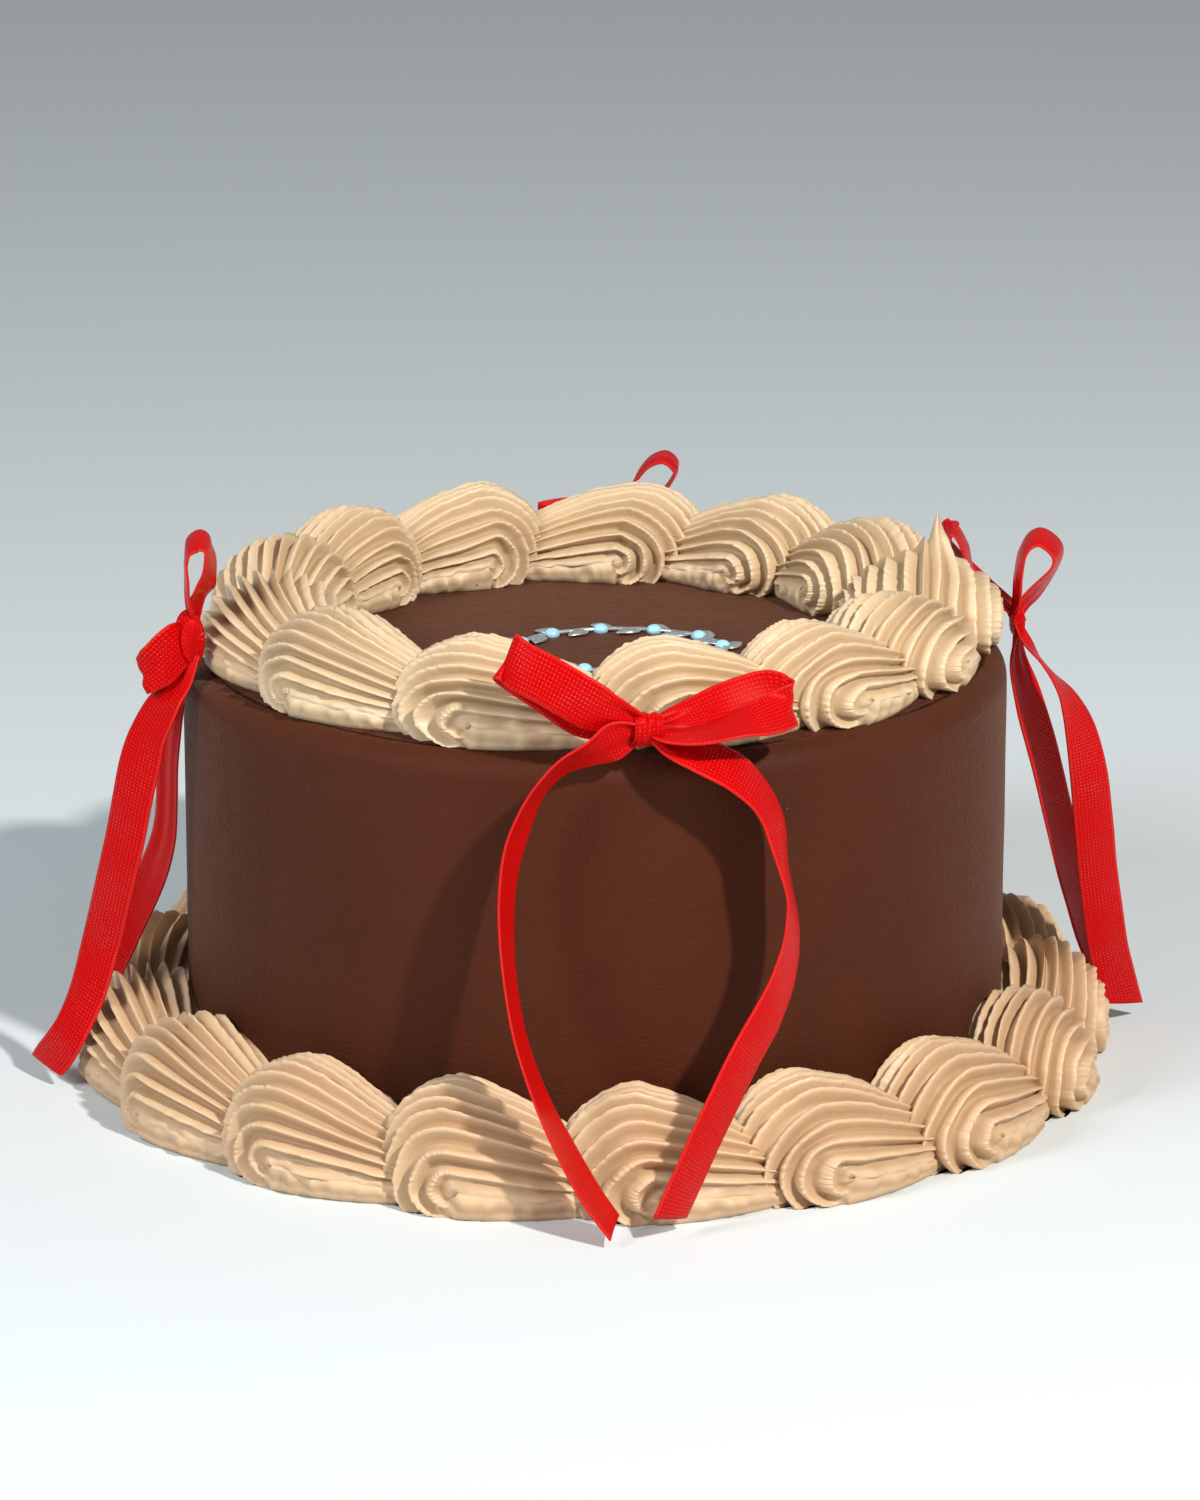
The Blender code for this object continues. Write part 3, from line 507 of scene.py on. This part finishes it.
def satin_material(settings):
    """Woven satin: deep red, with slanting rows of fine dots that glint on the lit folds."""
    base = tuple(settings.colour)
    m = Nodes("ribbon_red_satin", base, settings.roughness)
    cloth = m.coordinates.outputs["UV"]
    parts = m.add("ShaderNodeSeparateXYZ", {"Vector": cloth})
    across, along = parts.outputs["X"], parts.outputs["Y"]
    edge = m.maths("GREATER_THAN", m.maths("ABSOLUTE", across), settings.half_width - 0.0004)
    turns = 2.0 * math.pi / settings.weave
    rising = m.maths("ADD", along, m.maths("MULTIPLY", across, 0.8))
    falling = m.maths("SUBTRACT", along, across)
    waves = [m.maths("SINE", m.maths("MULTIPLY", rows, turns)) for rows in (rising, falling)]
    dots = m.maths("MAXIMUM", m.maths("MULTIPLY", *waves), 0.0)
    slow = m.noise(cloth, 120.0, 2.0)
    shine = m.ramp(slow, ((0.3, (0.2,) * 3), (0.65, WHITE)))
    body = m.mix(dots, tint(base, 0.94), tint(base, 1.12))
    body = m.mix(m.maths("MULTIPLY", slow, 0.22), body, tint(base, 0.7))
    body = m.mix(m.maths("MULTIPLY", edge, 0.18), body, (0.85, 0.08, 0.06))
    normal = m.bump(slow, 0.06, 0.0003)
    m.shade({"Base Color": body, "Normal": m.bump(dots, 0.22, 0.00012, normal),
             "Specular IOR Level": 0.12, "Specular Tint": (1.0, 0.26, 0.22), "Subsurface Weight": 0.4,
             "Subsurface Radius": (1.0, 0.04, 0.04), "Subsurface Scale": 0.0012,
             "Coat Weight": m.maths("MULTIPLY", dots, shine), "Coat Roughness": 0.26, "Coat IOR": 1.5,
             "Coat Normal": m.bump(dots, 0.9, 0.0002, normal)})
    return m.material


def silver_material(settings):
    """Glittering silver sugar: small facets that catch the light one by one."""
    base = tuple(settings.silver)
    m = Nodes("silver_glitter", base, 0.3)
    flakes = m.cells(m.coordinates.outputs["Object"], 2600.0)
    tone = m.mix(0.5, tint(base, 0.75), flakes["Color"], "SOFT_LIGHT")
    glint = m.ramp(flakes["Distance"], ((0.0, tint(base, 1.35)), (0.5, tint(base, 0.8))))
    m.shade({"Base Color": m.mix(0.6, tone, glint), "Metallic": 0.7,
             "Normal": m.bump(flakes["Color"], 0.8, 0.0002)})
    return m.material


def bud_material(settings):
    base = tuple(settings.blue)
    m = Nodes("pale_blue_icing", base, 0.4)
    cloud = m.noise(m.coordinates.outputs["Object"], 900.0, 2.0)
    m.shade({"Base Color": m.ramp(cloud, ((0.3, tint(base, 0.85)), (0.7, tint(base, 1.12)))),
             "Normal": m.bump(cloud, 0.4, 0.0001)})
    return m.material


def floor_material(settings):
    base = tuple(settings.floor)
    m = Nodes("pale_floor", base, 0.75)
    cloud = m.noise(m.coordinates.outputs["Object"], 1.2, 2.0)
    m.shade({"Base Color": m.ramp(cloud, ((0.2, tint(base, 0.985)), (0.8, base))),
             "Specular IOR Level": 0.2})
    return m.material


# ---- icing

def select_faces(piece, test):
    """Select the faces whose centre and normal pass the test, in edit mode."""
    bpy.ops.object.mode_set(mode="OBJECT")
    for item in (*piece.data.vertices, *piece.data.edges):
        item.select = False
    for face in piece.data.polygons:
        face.select = bool(test(face.center, face.normal))
    bpy.ops.object.mode_set(mode="EDIT")
    bpy.ops.mesh.select_mode(type="FACE")


def select_edges(piece, test):
    """Select the edges whose two ends pass the test, in edit mode."""
    bpy.ops.object.mode_set(mode="OBJECT")
    points = piece.data.vertices
    for item in (*points, *piece.data.polygons):
        item.select = False
    for edge in piece.data.edges:
        edge.select = bool(test(points[edge.vertices[0]].co, points[edge.vertices[1]].co))
    bpy.ops.object.mode_set(mode="EDIT")
    bpy.ops.mesh.select_mode(type="EDGE")


def make_icing(settings):
    """A drum with a rounded rim, cut fine enough for the slow unevenness of a hand-smoothed side."""
    start_clean()
    bpy.ops.mesh.primitive_cylinder_add(vertices=288, radius=settings.radius, depth=settings.height,
                                        end_fill_type="NGON", location=(0, 0, settings.height / 2))
    bpy.ops.object.transform_apply(location=True, rotation=True, scale=True)
    piece = bpy.context.object
    high = settings.height * 0.999
    bpy.ops.object.mode_set(mode="EDIT")
    select_edges(piece, lambda a, b: a.z > high and b.z > high)
    bpy.ops.mesh.bevel(offset=settings.edge, offset_type="OFFSET", segments=9, profile=0.5,
                       affect="EDGES")
    low = settings.height - settings.edge * 1.001
    select_edges(piece, lambda a, b: abs(a.z - b.z) > low * 0.9)
    bpy.ops.mesh.subdivide(number_cuts=44)
    select_faces(piece, lambda centre, normal: normal.z > 0.99 and centre.z > high)
    for _ in range(12):
        bpy.ops.mesh.inset(thickness=settings.radius / 14.5, depth=0.0)
    bpy.ops.object.mode_set(mode="OBJECT")
    points = np.empty(len(piece.data.vertices) * 3)
    piece.data.vertices.foreach_get("co", points)
    points = points.reshape(-1, 3)
    around = np.hypot(points[:, 0], points[:, 1])
    slow = rough(points, 26.0, 3) * 0.7 + rough(points, 75.0, 5) * 0.3
    below_top = settings.height - points[:, 2]
    rim = np.clip(1.0 - below_top / 0.016, 0.0, 1.0)
    slow = slow * (1.0 + 1.2 * rim * (around > settings.radius * 0.8)) - 0.5
    side = np.where(points[:, 2] > 0.0005, 1.0, 0.0) * np.clip(around / settings.radius, 0, 1) ** 4
    move = settings.wobble * slow * side
    points[:, 0] += points[:, 0] / np.maximum(around, 1e-6) * move
    points[:, 1] += points[:, 1] / np.maximum(around, 1e-6) * move
    crown = np.clip(1.0 - below_top / 0.004, 0.0, 1.0)
    points[:, 2] += settings.wobble * (rough(points, 40.0, 9) - 0.5) * crown
    piece.data.vertices.foreach_set("co", points.ravel())
    piece.data.update()
    dress(piece, "icing_drum", chocolate_material(settings), "chocolate_icing", "cake")
    bpy.ops.object.shade_smooth_by_angle(angle=math.radians(60))


# ---- shells

def shell_forms(azimuths, sizes, floor, wall, tip_shell, seed):
    """Sizes of each shell of a ring, with the small spread that hand piping gives."""
    spread = random.Random(seed)
    ring, width, reach, rise, pivot = sizes
    forms = []
    for i, azimuth in enumerate(azimuths):
        gap = (azimuths[(i + 1) % len(azimuths)] - azimuth) % 360
        scale = 1.0 + spread.uniform(-0.035, 0.035)
        height, tip, outward = rise / scale, 0.0, 0.0
        if i + 1 == tip_shell:
            scale, height, tip, outward = 1.12, rise, 0.0093, 0.001
        forms.append({"azimuth": azimuth, "length": math.radians(gap) * ring * 0.80,
                      "ring": ring + outward, "width": width * scale, "reach": reach * scale,
                      "rise": height - pivot, "pivot": pivot, "floor": floor, "wall": wall,
                      "tip": tip, "seed": seed + 3 * i})
    return forms


# Mesh columns from one crest to the next, closest together at the crests
CREST_STEPS = (0.0, 0.05, 0.13, 0.27, 0.42, 0.58, 0.73, 0.87, 0.95)


def crest_columns(form, turn, settings):
    """Place across the shell of each column, which wanders with its crest, and the crest's number."""
    phase = np.array([crest + step for crest in range(settings.crests) for step in CREST_STEPS]
                     + [settings.crests])
    across = phase / settings.crests
    number_of = np.floor(phase + 0.5)
    where = np.array([[n * 0.45, turn * 1.1, form["seed"] * 0.37] for n in phase])
    still = np.minimum(1.0, np.minimum(across, 1.0 - across) * 8.0)
    across = across + 0.30 / settings.crests * rough(where, 1.0, 2) * still
    below = np.mod(phase, 1.0)
    below = np.where(phase > settings.crests / 2, np.mod(1.0 - below, 1.0), below)
    hollow = np.sqrt(np.sin(math.pi * below ** settings.overhang) ** 2 + 0.008) ** 0.74
    least = 0.168
    wave = 1.0 - (hollow - least) / (1.0 - least)
    return across, number_of, np.clip(wave, 0.0, 1.0)


def shell_points(form, settings):
    """Rows of points over one shell: under its tail, round its head and back along its tail."""
    head = np.radians(np.linspace(270.0, 90.0, settings.head_rows))
    shares = np.linspace(0.0, 1.0, settings.tail_rows)[1:]
    rows, turns, spreads, waves, numbers = [], [], [], [], []

    def add(turn, point):
        across, number_of, wave = crest_columns(form, max(turn, 0.0), settings)
        fan, side = np.sin(math.pi * across), np.cos(math.pi * across)
        rows.append(point(fan, side, settings.nucleus * (1.0 - fan) ** 1.5))
        turns.append(np.full(len(across), turn))
        spreads.append(across)
        waves.append(wave)
        numbers.append(number_of)

    def tail(share, up):
        half = form["width"] * (1.0 - 0.42 * share ** 1.5)
        base = form["pivot"] * (1.0 - 0.45 * share)
        rise = form["rise"] * (1.0 - 0.56 * share ** 1.6) if up else -base
        return lambda fan, side, push: np.stack([
            push + (form["length"] - push) * share, half * side,
            base + rise * (fan if up else np.minimum(1.0, fan * 3.0))], -1)

    def round_head(angle):
        height = form["rise"] if math.sin(angle) > 0 else form["pivot"] * 2.2
        radius = 1.0 / math.hypot(math.cos(angle) / form["reach"], math.sin(angle) / height)
        return lambda fan, side, push: np.stack([
            push + math.cos(angle) * radius * fan, form["width"] * side,
            form["pivot"] + math.sin(angle) * radius * fan], -1)

    for share in reversed(shares):
        add(-share, tail(share, False))
    for angle in head:
        add(math.radians(270.0) - angle, round_head(angle))
    for share in shares:
        add(math.pi + share * 1.3, tail(share, True))
    return [np.array(item) for item in (rows, turns, spreads, waves, numbers)]


def weld_sides(points, settings):
    """The two sides of the shell are single lines: bring the rows' ends exactly together there."""
    below = settings.tail_rows - 1
    head_end = below + settings.head_rows
    for column in (0, -1):
        points[below:head_end, column] = points[head_end - 1, column]
        points[:below, column] = points[head_end:, column][::-1]
    return points


def rough_up(form, points, turn, spread, wave, number_of, settings):
    """Push the ridges out, ragged at their edges, and let the whole shell be a little uneven."""
    def at(first, second, seed_step):
        return np.stack([first, second, np.full_like(turn, form["seed"] * seed_step)], -1)

    centre = np.zeros_like(points)
    centre[..., 0] = np.clip(points[..., 0], 0.0, form["length"])
    centre[..., 2] = form["pivot"] * 0.9
    outward = points - centre
    reach = np.linalg.norm(outward, axis=-1, keepdims=True)
    outward /= np.maximum(reach, 1e-9)
    fan = np.sin(math.pi * spread)
    edge = at(turn * 12.0, number_of * 3.1, 1.7)
    ragged = rough(edge, 1.0, 4) * 0.7 + rough(edge, 2.1, 6) * 0.3 - 0.15
    top = np.clip((turn - 0.1) / 0.5, 0.0, 1.0)
    depth = settings.ridge * np.minimum(reach[..., 0], 0.0175) * np.minimum(1.0, fan * 3.0)
    uneven = 1.0 + 0.30 * rough(at(turn * 0.9, number_of * 1.7, 0.9), 1.0, 12)
    push = depth * uneven * (wave * 1.9 - 1.28)
    push = push + settings.serration * ragged * np.clip(wave * 1.6 - 0.4, 0, 1)
    slow = rough(points + form["seed"] * 0.05, 110.0, 8) * settings.drift
    skirt = np.clip(1.0 - fan * 1.9, 0.0, 1.0) * np.clip((turn - 1.2) / 0.8, 0.0, 1.0)
    slow = slow + rough(points + form["seed"] * 0.07, 330.0, 14) * settings.skirt * skirt
    points = points + outward * ((push + slow) * top)[..., None]
    folds = at(points[..., 0] * 520.0, np.sign(spread - 0.5) * 9.0, 0.7)
    foot = np.sin(math.pi * np.clip(fan * 3.0, 0.0, 1.0)) * (turn < 0.0) * (points[..., 0] > 0.0)
    bulge = settings.skirt * (0.55 + 1.3 * rough(folds, 1.0, 16)) * foot
    points[..., 1] += np.where(spread < 0.5, bulge, -bulge)
    points[..., 2] = np.maximum(points[..., 2], 0.0)
    return weld_sides(points, settings)


def raise_tip(form, points):
    """The pulled-up peak where the nozzle left the last shell: the ridges run together into it."""
    away = np.stack([points[..., 0] - 0.001, points[..., 1] - 0.0034], -1)
    distance = np.linalg.norm(away, axis=-1)
    upper = np.clip((points[..., 2] - form["rise"] * 0.6) / 0.003, 0.0, 1.0)
    pull = np.exp(-(distance / 0.0062) ** 2) * upper
    points[..., :2] -= away * (0.42 * pull)[..., None]
    crown = form["rise"] + form["pivot"]
    points[..., 2] += (crown - points[..., 2]) * 0.8 * np.exp(-(distance / 0.0030) ** 2) * upper
    points[..., 2] += form["tip"] * np.exp(-(distance / 0.0036) ** 1.25) * upper
    return points


def bend_round(form, points):
    """Bend the straight shell round the cake's axis and set it on what carries it."""
    out = np.maximum(points[..., 1], form["wall"] - form["ring"])
    turn = math.radians(form["azimuth"]) + points[..., 0] / form["ring"]
    radius = form["ring"] + out
    return np.stack([radius * np.sin(turn), -radius * np.cos(turn), points[..., 2] + form["floor"]], -1)


def make_shell(form, settings):
    points, turn, spread, wave, number_of = shell_points(form, settings)
    points = rough_up(form, points, turn, spread, wave, number_of, settings)
    if form["tip"]:
        points = raise_tip(form, points)
    end = np.repeat(points[-1].mean(0)[None, None, :], points.shape[1], 1)
    points = np.concatenate([end, points, end])
    wave = np.concatenate([wave[:1], wave, wave[-1:]])
    piece, row, column = shaped_grid(bend_round(form, points))
    give_attribute(piece, "crest", wave[row, column])
    close_seams(piece)
    return piece


def make_border(prefix, forms, settings, material, slot):
    for i, form in enumerate(forms):
        node = f"{prefix}_{i + 1:02d}"
        dress(make_shell(form, settings), f"piped_{node}", material, slot, node)


# ---- ribbon

def smooth_path(points, stations):
    """Even steps along a Catmull-Rom curve through the points; all columns run together."""
    ends = np.array([points[0], *points, points[-1]], float)
    at = np.linspace(0.0, len(points) - 1.0, stations)
    i = np.minimum(at.astype(int), len(points) - 2)
    f = (at - i)[:, None]
    a, b, c, d = ends[i], ends[i + 1], ends[i + 2], ends[i + 3]
    return 0.5 * (2 * b + (c - a) * f + (2 * a - 5 * b + 4 * c - d) * f ** 2
                  + (3 * b - a - 3 * c + d) * f ** 3)


def ribbon_strip(points, stations, axes, settings, seed, slant=0.0):
    """One length of ribbon: cupped a little, pleated where the knot pinches it, cut at a slant."""
    path = smooth_path([(*row, FULL_HALF)[:7] for row in points], stations)
    centre = path[:, :3] * MM
    run = np.gradient(centre, axis=0)
    run /= np.linalg.norm(run, axis=1, keepdims=True)
    width = path[:, 3:6] - run * np.sum(path[:, 3:6] * run, 1, keepdims=True)
    width /= np.linalg.norm(width, axis=1, keepdims=True)
    normal = np.cross(run, width)
    half = path[:, 6] * MM
    along = np.concatenate([[0.0], np.cumsum(np.linalg.norm(np.diff(centre, axis=0), axis=1))])
    v = np.linspace(-1.0, 1.0, 17)
    pinch = np.clip(1.0 - half / settings.half_width, 0.0, 1.0)[:, None]
    pleat = 0.0024 * pinch ** 1.2 * (np.cos(2.0 * math.pi * v + seed) * 0.5)[None, :]
    wave = np.array([noise.noise(Vector((s * 90.0, seed * 5.1, 0.0))) for s in along])[:, None]
    outside = np.sign(np.sum(normal * (centre - centre.mean(0))))
    cup = (0.00035 + 0.0002 * wave) * (v ** 2)[None, :] * (1.0 - pinch)
    offset = pleat - outside * cup
    sheet = (centre[:, None, :] + width[:, None, :] * (half[:, None] * v[None, :])[..., None]
             + normal[:, None, :] * offset[..., None])
    if slant:
        share = np.clip((along - along[-1] + 0.008) / 0.008, 0.0, 1.0)[:, None]
        sheet += run[:, None, :] * (slant * v[None, :] * share)[..., None]
    world = sheet @ np.array(axes).T
    world[..., 2] = np.maximum(world[..., 2], settings.thickness)
    piece, row, column = shaped_grid(world)
    lay_uv(piece, v[column] * settings.half_width, along[row])
    thicken(piece, settings.thickness, 0.0)
    return piece


def make_knot(design, axes):
    """The band of ribbon round the gather: a barrel with slanting pleats, closed at both ends."""
    along, deep, high = (size * 1.08 for size in design["size"])
    v = np.linspace(-1.0, 1.0, 25)
    rows = []
    for angle in np.linspace(0.0, 2.0 * math.pi, 61):
        pleats = 0.075 * np.cos(5.2 * v - 2.0 * angle) + 0.035 * np.cos(9.0 * v - 3.0 * angle + 1.0)
        swell = 1.0 - 0.20 * v ** 2 + pleats * (1.0 - v ** 2)
        swell = swell * (1.0 + 0.05 * math.sin(angle * 2.0 + 0.6))
        ring = np.stack([v * along + 0.22 * math.sin(angle + 0.5), deep * swell * math.cos(angle),
                         high * swell * math.sin(angle)], -1)
        rows.append(np.concatenate([[[-0.7 * along, 0.0, 0.0]], ring, [[0.7 * along, 0.0, 0.0]]]))
    points = (np.array(rows) + np.array(design["knot"])) * MM
    piece, row, column = shaped_grid(points @ np.array(axes).T)
    lay_uv(piece, (column / 26.0 - 0.5) * 0.0055, row / 60.0 * 0.018)
    close_seams(piece)
    return piece


def make_bow(name, node, design, settings, material, slants, seed):
    a = math.radians(design["azimuth"])
    axes = Matrix(((math.cos(a), math.sin(a), 0), (math.sin(a), -math.cos(a), 0), (0, 0, 1)))
    parts = [make_knot(design, axes)]
    for i, points in enumerate(design["loops"]):
        parts.append(ribbon_strip(points, 110, axes, settings, seed + i))
    for i, points in enumerate(design["tails"]):
        parts.append(ribbon_strip(points, 130, axes, settings, seed + 5 + i, slants[i]))
    piece = join(parts)
    close_seams(piece, 1e-7)
    dress(piece, name, material, "ribbon_red", node)


# ---- wreath

OVAL_X, OVAL_Y = 0.0215, 0.0165
LEAF_HALF_WIDTH = 0.0017
STEM_HALF_HEIGHT = 0.00045
BUD_RADIUS = 0.0016


def oval(turn, out):
    """Place on the wreath's stem line, or further out from it."""
    low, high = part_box("top_ornament")
    centre = (low + high) / 2
    return centre.x + (OVAL_X + out) * math.sin(turn), centre.y - (OVAL_Y + out) * math.cos(turn)


def make_leaf(turn, lean, settings):
    """A domed pointed leaf with a sunk middle vein, leaning off the stem."""
    x, y = oval(turn, 0.0)
    aim = math.atan2(OVAL_Y * math.sin(turn), OVAL_X * math.cos(turn)) + lean
    rows = []
    for s in np.linspace(0.0, 1.0, 13):
        half = LEAF_HALF_WIDTH * math.sin(math.pi * s ** 0.8) ** 0.8 if 0.0 < s < 1.0 else 0.0
        row = []
        for v in np.linspace(-1.0, 1.0, 9):
            dome = settings.thickness * (0.35 + 0.65 * math.sin(math.pi * s) * (1.0 - v * v))
            vein = -0.00022 * math.exp(-(v / 0.22) ** 2) * math.sin(math.pi * s)
            forth, aside = s * settings.leaf, half * v
            row.append((x + forth * math.cos(aim) - aside * math.sin(aim),
                        y + forth * math.sin(aim) + aside * math.cos(aim), TOP + dome + vein))
        rows.append(row)
    piece = shaped_grid(np.array(rows))[0]
    close_seams(piece, 1e-6)
    thicken(piece, 0.0004, -1.0)
    return piece


def make_stem():
    rows = []
    for turn in np.linspace(0.0, 2.0 * math.pi, 97):
        row = []
        swell = 1.0 + 0.12 * math.sin(turn * 24.0)
        for angle in np.linspace(0.0, 2.0 * math.pi, 9):
            x, y = oval(turn, 0.00055 * swell * math.cos(angle))
            row.append((x, y, TOP + 0.0004 + STEM_HALF_HEIGHT * swell * math.sin(angle)))
        rows.append(row)
    piece = shaped_grid(np.array(rows))[0]
    close_seams(piece, 1e-6)
    return piece


def make_bud(turn):
    start_clean()
    place = (*oval(turn, -0.0002), TOP + 0.0004)
    bpy.ops.mesh.primitive_uv_sphere_add(segments=16, ring_count=10, radius=BUD_RADIUS,
                                         location=place)
    piece = bpy.context.object
    piece.scale = (1.0, 1.0, 0.75)
    bpy.ops.object.transform_apply(location=True, rotation=True, scale=True)
    return piece


# ---- stage

# Each lamp: azimuth and elevation in degrees, distance and disk size in metres, colour
KEY = (35.0, 41.0, 1.5, 0.075, (1.0, 0.965, 0.92))
FILL = (-50.0, 35.0, 1.7, 0.6, (0.90, 0.95, 1.0))
CAMERA_PLACE = (0.001, -1.1814, 0.4017)
CAMERA_DIP = 15.93


def make_stage(settings):
    """Plain pale floor, key light from the front right, broad fill, even sky and the camera."""
    start_clean()
    bpy.ops.mesh.primitive_plane_add(size=14.0, location=(0, 0, 0))
    floor = bpy.context.object
    floor.name = "pale_floor"
    floor.data.materials.append(floor_material(settings))
    for name, (azimuth, elevation, distance, size, tone), power in (
            ("key_light", KEY, settings.key_power), ("fill_light", FILL, settings.fill_power)):
        a, e = math.radians(azimuth), math.radians(elevation)
        at = Vector((math.sin(a) * math.cos(e), -math.cos(a) * math.cos(e), math.sin(e))) * distance
        bpy.ops.object.light_add(type="AREA", location=at)
        lamp = bpy.context.object
        lamp.name = name
        lamp.data.shape = "DISK"
        lamp.data.size = size
        lamp.data.energy = power
        lamp.data.color = tone
        lamp.rotation_euler = (Vector((0, 0, 0.05)) - at).to_track_quat("-Z", "Y").to_euler()
    world = bpy.data.worlds.new("even_sky")
    world.use_nodes = True
    sky = world.node_tree.nodes["Background"]
    sky.inputs["Color"].default_value = (0.92, 0.96, 1.0, 1.0)
    sky.inputs["Strength"].default_value = settings.sky
    bpy.context.scene.world = world
    bpy.context.scene.view_settings.view_transform = "Standard"
    bpy.ops.object.camera_add(location=CAMERA_PLACE,
                              rotation=(math.radians(90.0 - CAMERA_DIP), 0.0, 0.0))
    camera = bpy.context.object
    camera.name = "camera"
    camera.data.lens = 144.0
    camera.data.sensor_width = 36.0
    camera.data.clip_start = 0.05
    camera.data.clip_end = 30.0
    bpy.context.scene.camera = camera


# ---- operators

class CAKE_OT_icing(bpy.types.Operator):
    """Make the smooth chocolate drum"""
    bl_idname = "cake.icing"
    bl_label = "Chocolate Icing"

    def execute(self, context):
        make_icing(context.scene.cake_icing)
        return {"FINISHED"}


class CAKE_OT_top_border(bpy.types.Operator):
    """Pipe the ring of shells on the top"""
    bl_idname = "cake.top_border"
    bl_label = "Top Border"

    def execute(self, context):
        settings = context.scene.cake_shells
        forms = shell_forms(TOP_AZIMUTHS, TOP_RING, TOP - 0.0002, 0.0, TIP_SHELL, 11)
        cream = buttercream_material("buttercream_piped", tuple(settings.colour), settings.roughness)
        make_border("top_shell", forms, settings, cream, "buttercream")
        return {"FINISHED"}


class CAKE_OT_foot_border(bpy.types.Operator):
    """Pipe the ring of shells round the foot"""
    bl_idname = "cake.foot_border"
    bl_label = "Foot Border"

    def execute(self, context):
        settings = context.scene.cake_shells
        forms = shell_forms(FOOT_AZIMUTHS, FOOT_RING, 0.0, CAKE_HIGH.x - 0.0003, 0, 23)
        cream = buttercream_material("buttercream_foot_piped", tuple(settings.foot_colour),
                                     settings.roughness)
        make_border("base_shell", forms, settings, cream, "buttercream_foot")
        return {"FINISHED"}


class CAKE_OT_bows(bpy.types.Operator):
    """Tie the four ribbon bows"""
    bl_idname = "cake.bows"
    bl_label = "Ribbon Bows"

    def execute(self, context):
        settings = context.scene.cake_ribbon
        satin = satin_material(settings)
        for name, node, design, slants, seed in (
                ("bow_of_front", "bow_front", FRONT_BOW, (0.0008, -0.0011), 1),
                ("bow_of_left", "bow_left", LEFT_BOW, (-0.0028, 0.0010), 2),
                ("bow_of_right", "bow_right", RIGHT_BOW, (-0.0015, 0.0033), 3),
                ("bow_of_back", "bow_back", BACK_BOW, (0.0018, -0.0018), 4)):
            make_bow(name, node, design, settings, satin, slants, seed)
        return {"FINISHED"}


class CAKE_OT_wreath(bpy.types.Operator):
    """Lay the thin leaf wreath on the top"""
    bl_idname = "cake.wreath"
    bl_label = "Leaf Wreath"

    def execute(self, context):
        settings = context.scene.cake_wreath
        parts = [make_stem()]
        steps = settings.leaves
        for i in range(steps):
            turn = 2.0 * math.pi * (i + 0.1) / steps
            parts.append(make_leaf(turn, math.radians(-38), settings))
            parts.append(make_leaf(turn + math.pi / steps, math.radians(38), settings))
        leaves = join(parts)
        dress(leaves, "wreath_leaves", silver_material(settings), "silver_blue_icing",
              "top_ornament")
        buds = [make_bud(2.0 * math.pi * (i + 0.35) / steps) for i in range(steps)]
        dress(join(buds), "wreath_buds", bud_material(settings), "silver_blue_icing",
              "top_ornament")
        return {"FINISHED"}


class CAKE_OT_stage(bpy.types.Operator):
    """Set the floor, lights and camera"""
    bl_idname = "cake.stage"
    bl_label = "Stage"

    def execute(self, context):
        make_stage(context.scene.cake_stage)
        return {"FINISHED"}


class CAKE_PT_sidebar(bpy.types.Panel):
    """Sizes, colours and pieces of the layer cake"""
    bl_label = "Layer Cake"
    bl_idname = "CAKE_PT_sidebar"
    bl_space_type = "VIEW_3D"
    bl_region_type = "UI"
    bl_category = "Cake"

    def draw(self, context):
        layout = self.layout
        for title, group, operators in SECTIONS:
            box = layout.box()
            box.label(text=title)
            settings = getattr(context.scene, group)
            for key in settings.__annotations__:
                box.prop(settings, key)
            for name in operators:
                box.operator(name)


SECTIONS = (
    ("Icing", "cake_icing", ("cake.icing",)),
    ("Shells", "cake_shells", ("cake.top_border", "cake.foot_border")),
    ("Ribbon", "cake_ribbon", ("cake.bows",)),
    ("Wreath", "cake_wreath", ("cake.wreath",)),
    ("Stage", "cake_stage", ("cake.stage",)),
)
GROUPS = {"cake_icing": IcingSettings, "cake_shells": ShellSettings, "cake_ribbon": RibbonSettings,
          "cake_wreath": WreathSettings, "cake_stage": StageSettings}
CLASSES = (*GROUPS.values(), CAKE_OT_icing, CAKE_OT_top_border, CAKE_OT_foot_border, CAKE_OT_bows,
           CAKE_OT_wreath, CAKE_OT_stage, CAKE_PT_sidebar)


def register():
    for item in CLASSES:
        bpy.utils.register_class(item)
    for name, group in GROUPS.items():
        setattr(bpy.types.Scene, name, bpy.props.PointerProperty(type=group))


def unregister():
    for name in GROUPS:
        delattr(bpy.types.Scene, name)
    for item in reversed(CLASSES):
        bpy.utils.unregister_class(item)


def main():
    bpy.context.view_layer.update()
    register()
    bpy.ops.cake.stage()
    bpy.ops.cake.icing()
    bpy.ops.cake.top_border()
    bpy.ops.cake.foot_border()
    bpy.ops.cake.bows()
    bpy.ops.cake.wreath()
    start_clean()


if __name__ == "__main__":
    main()
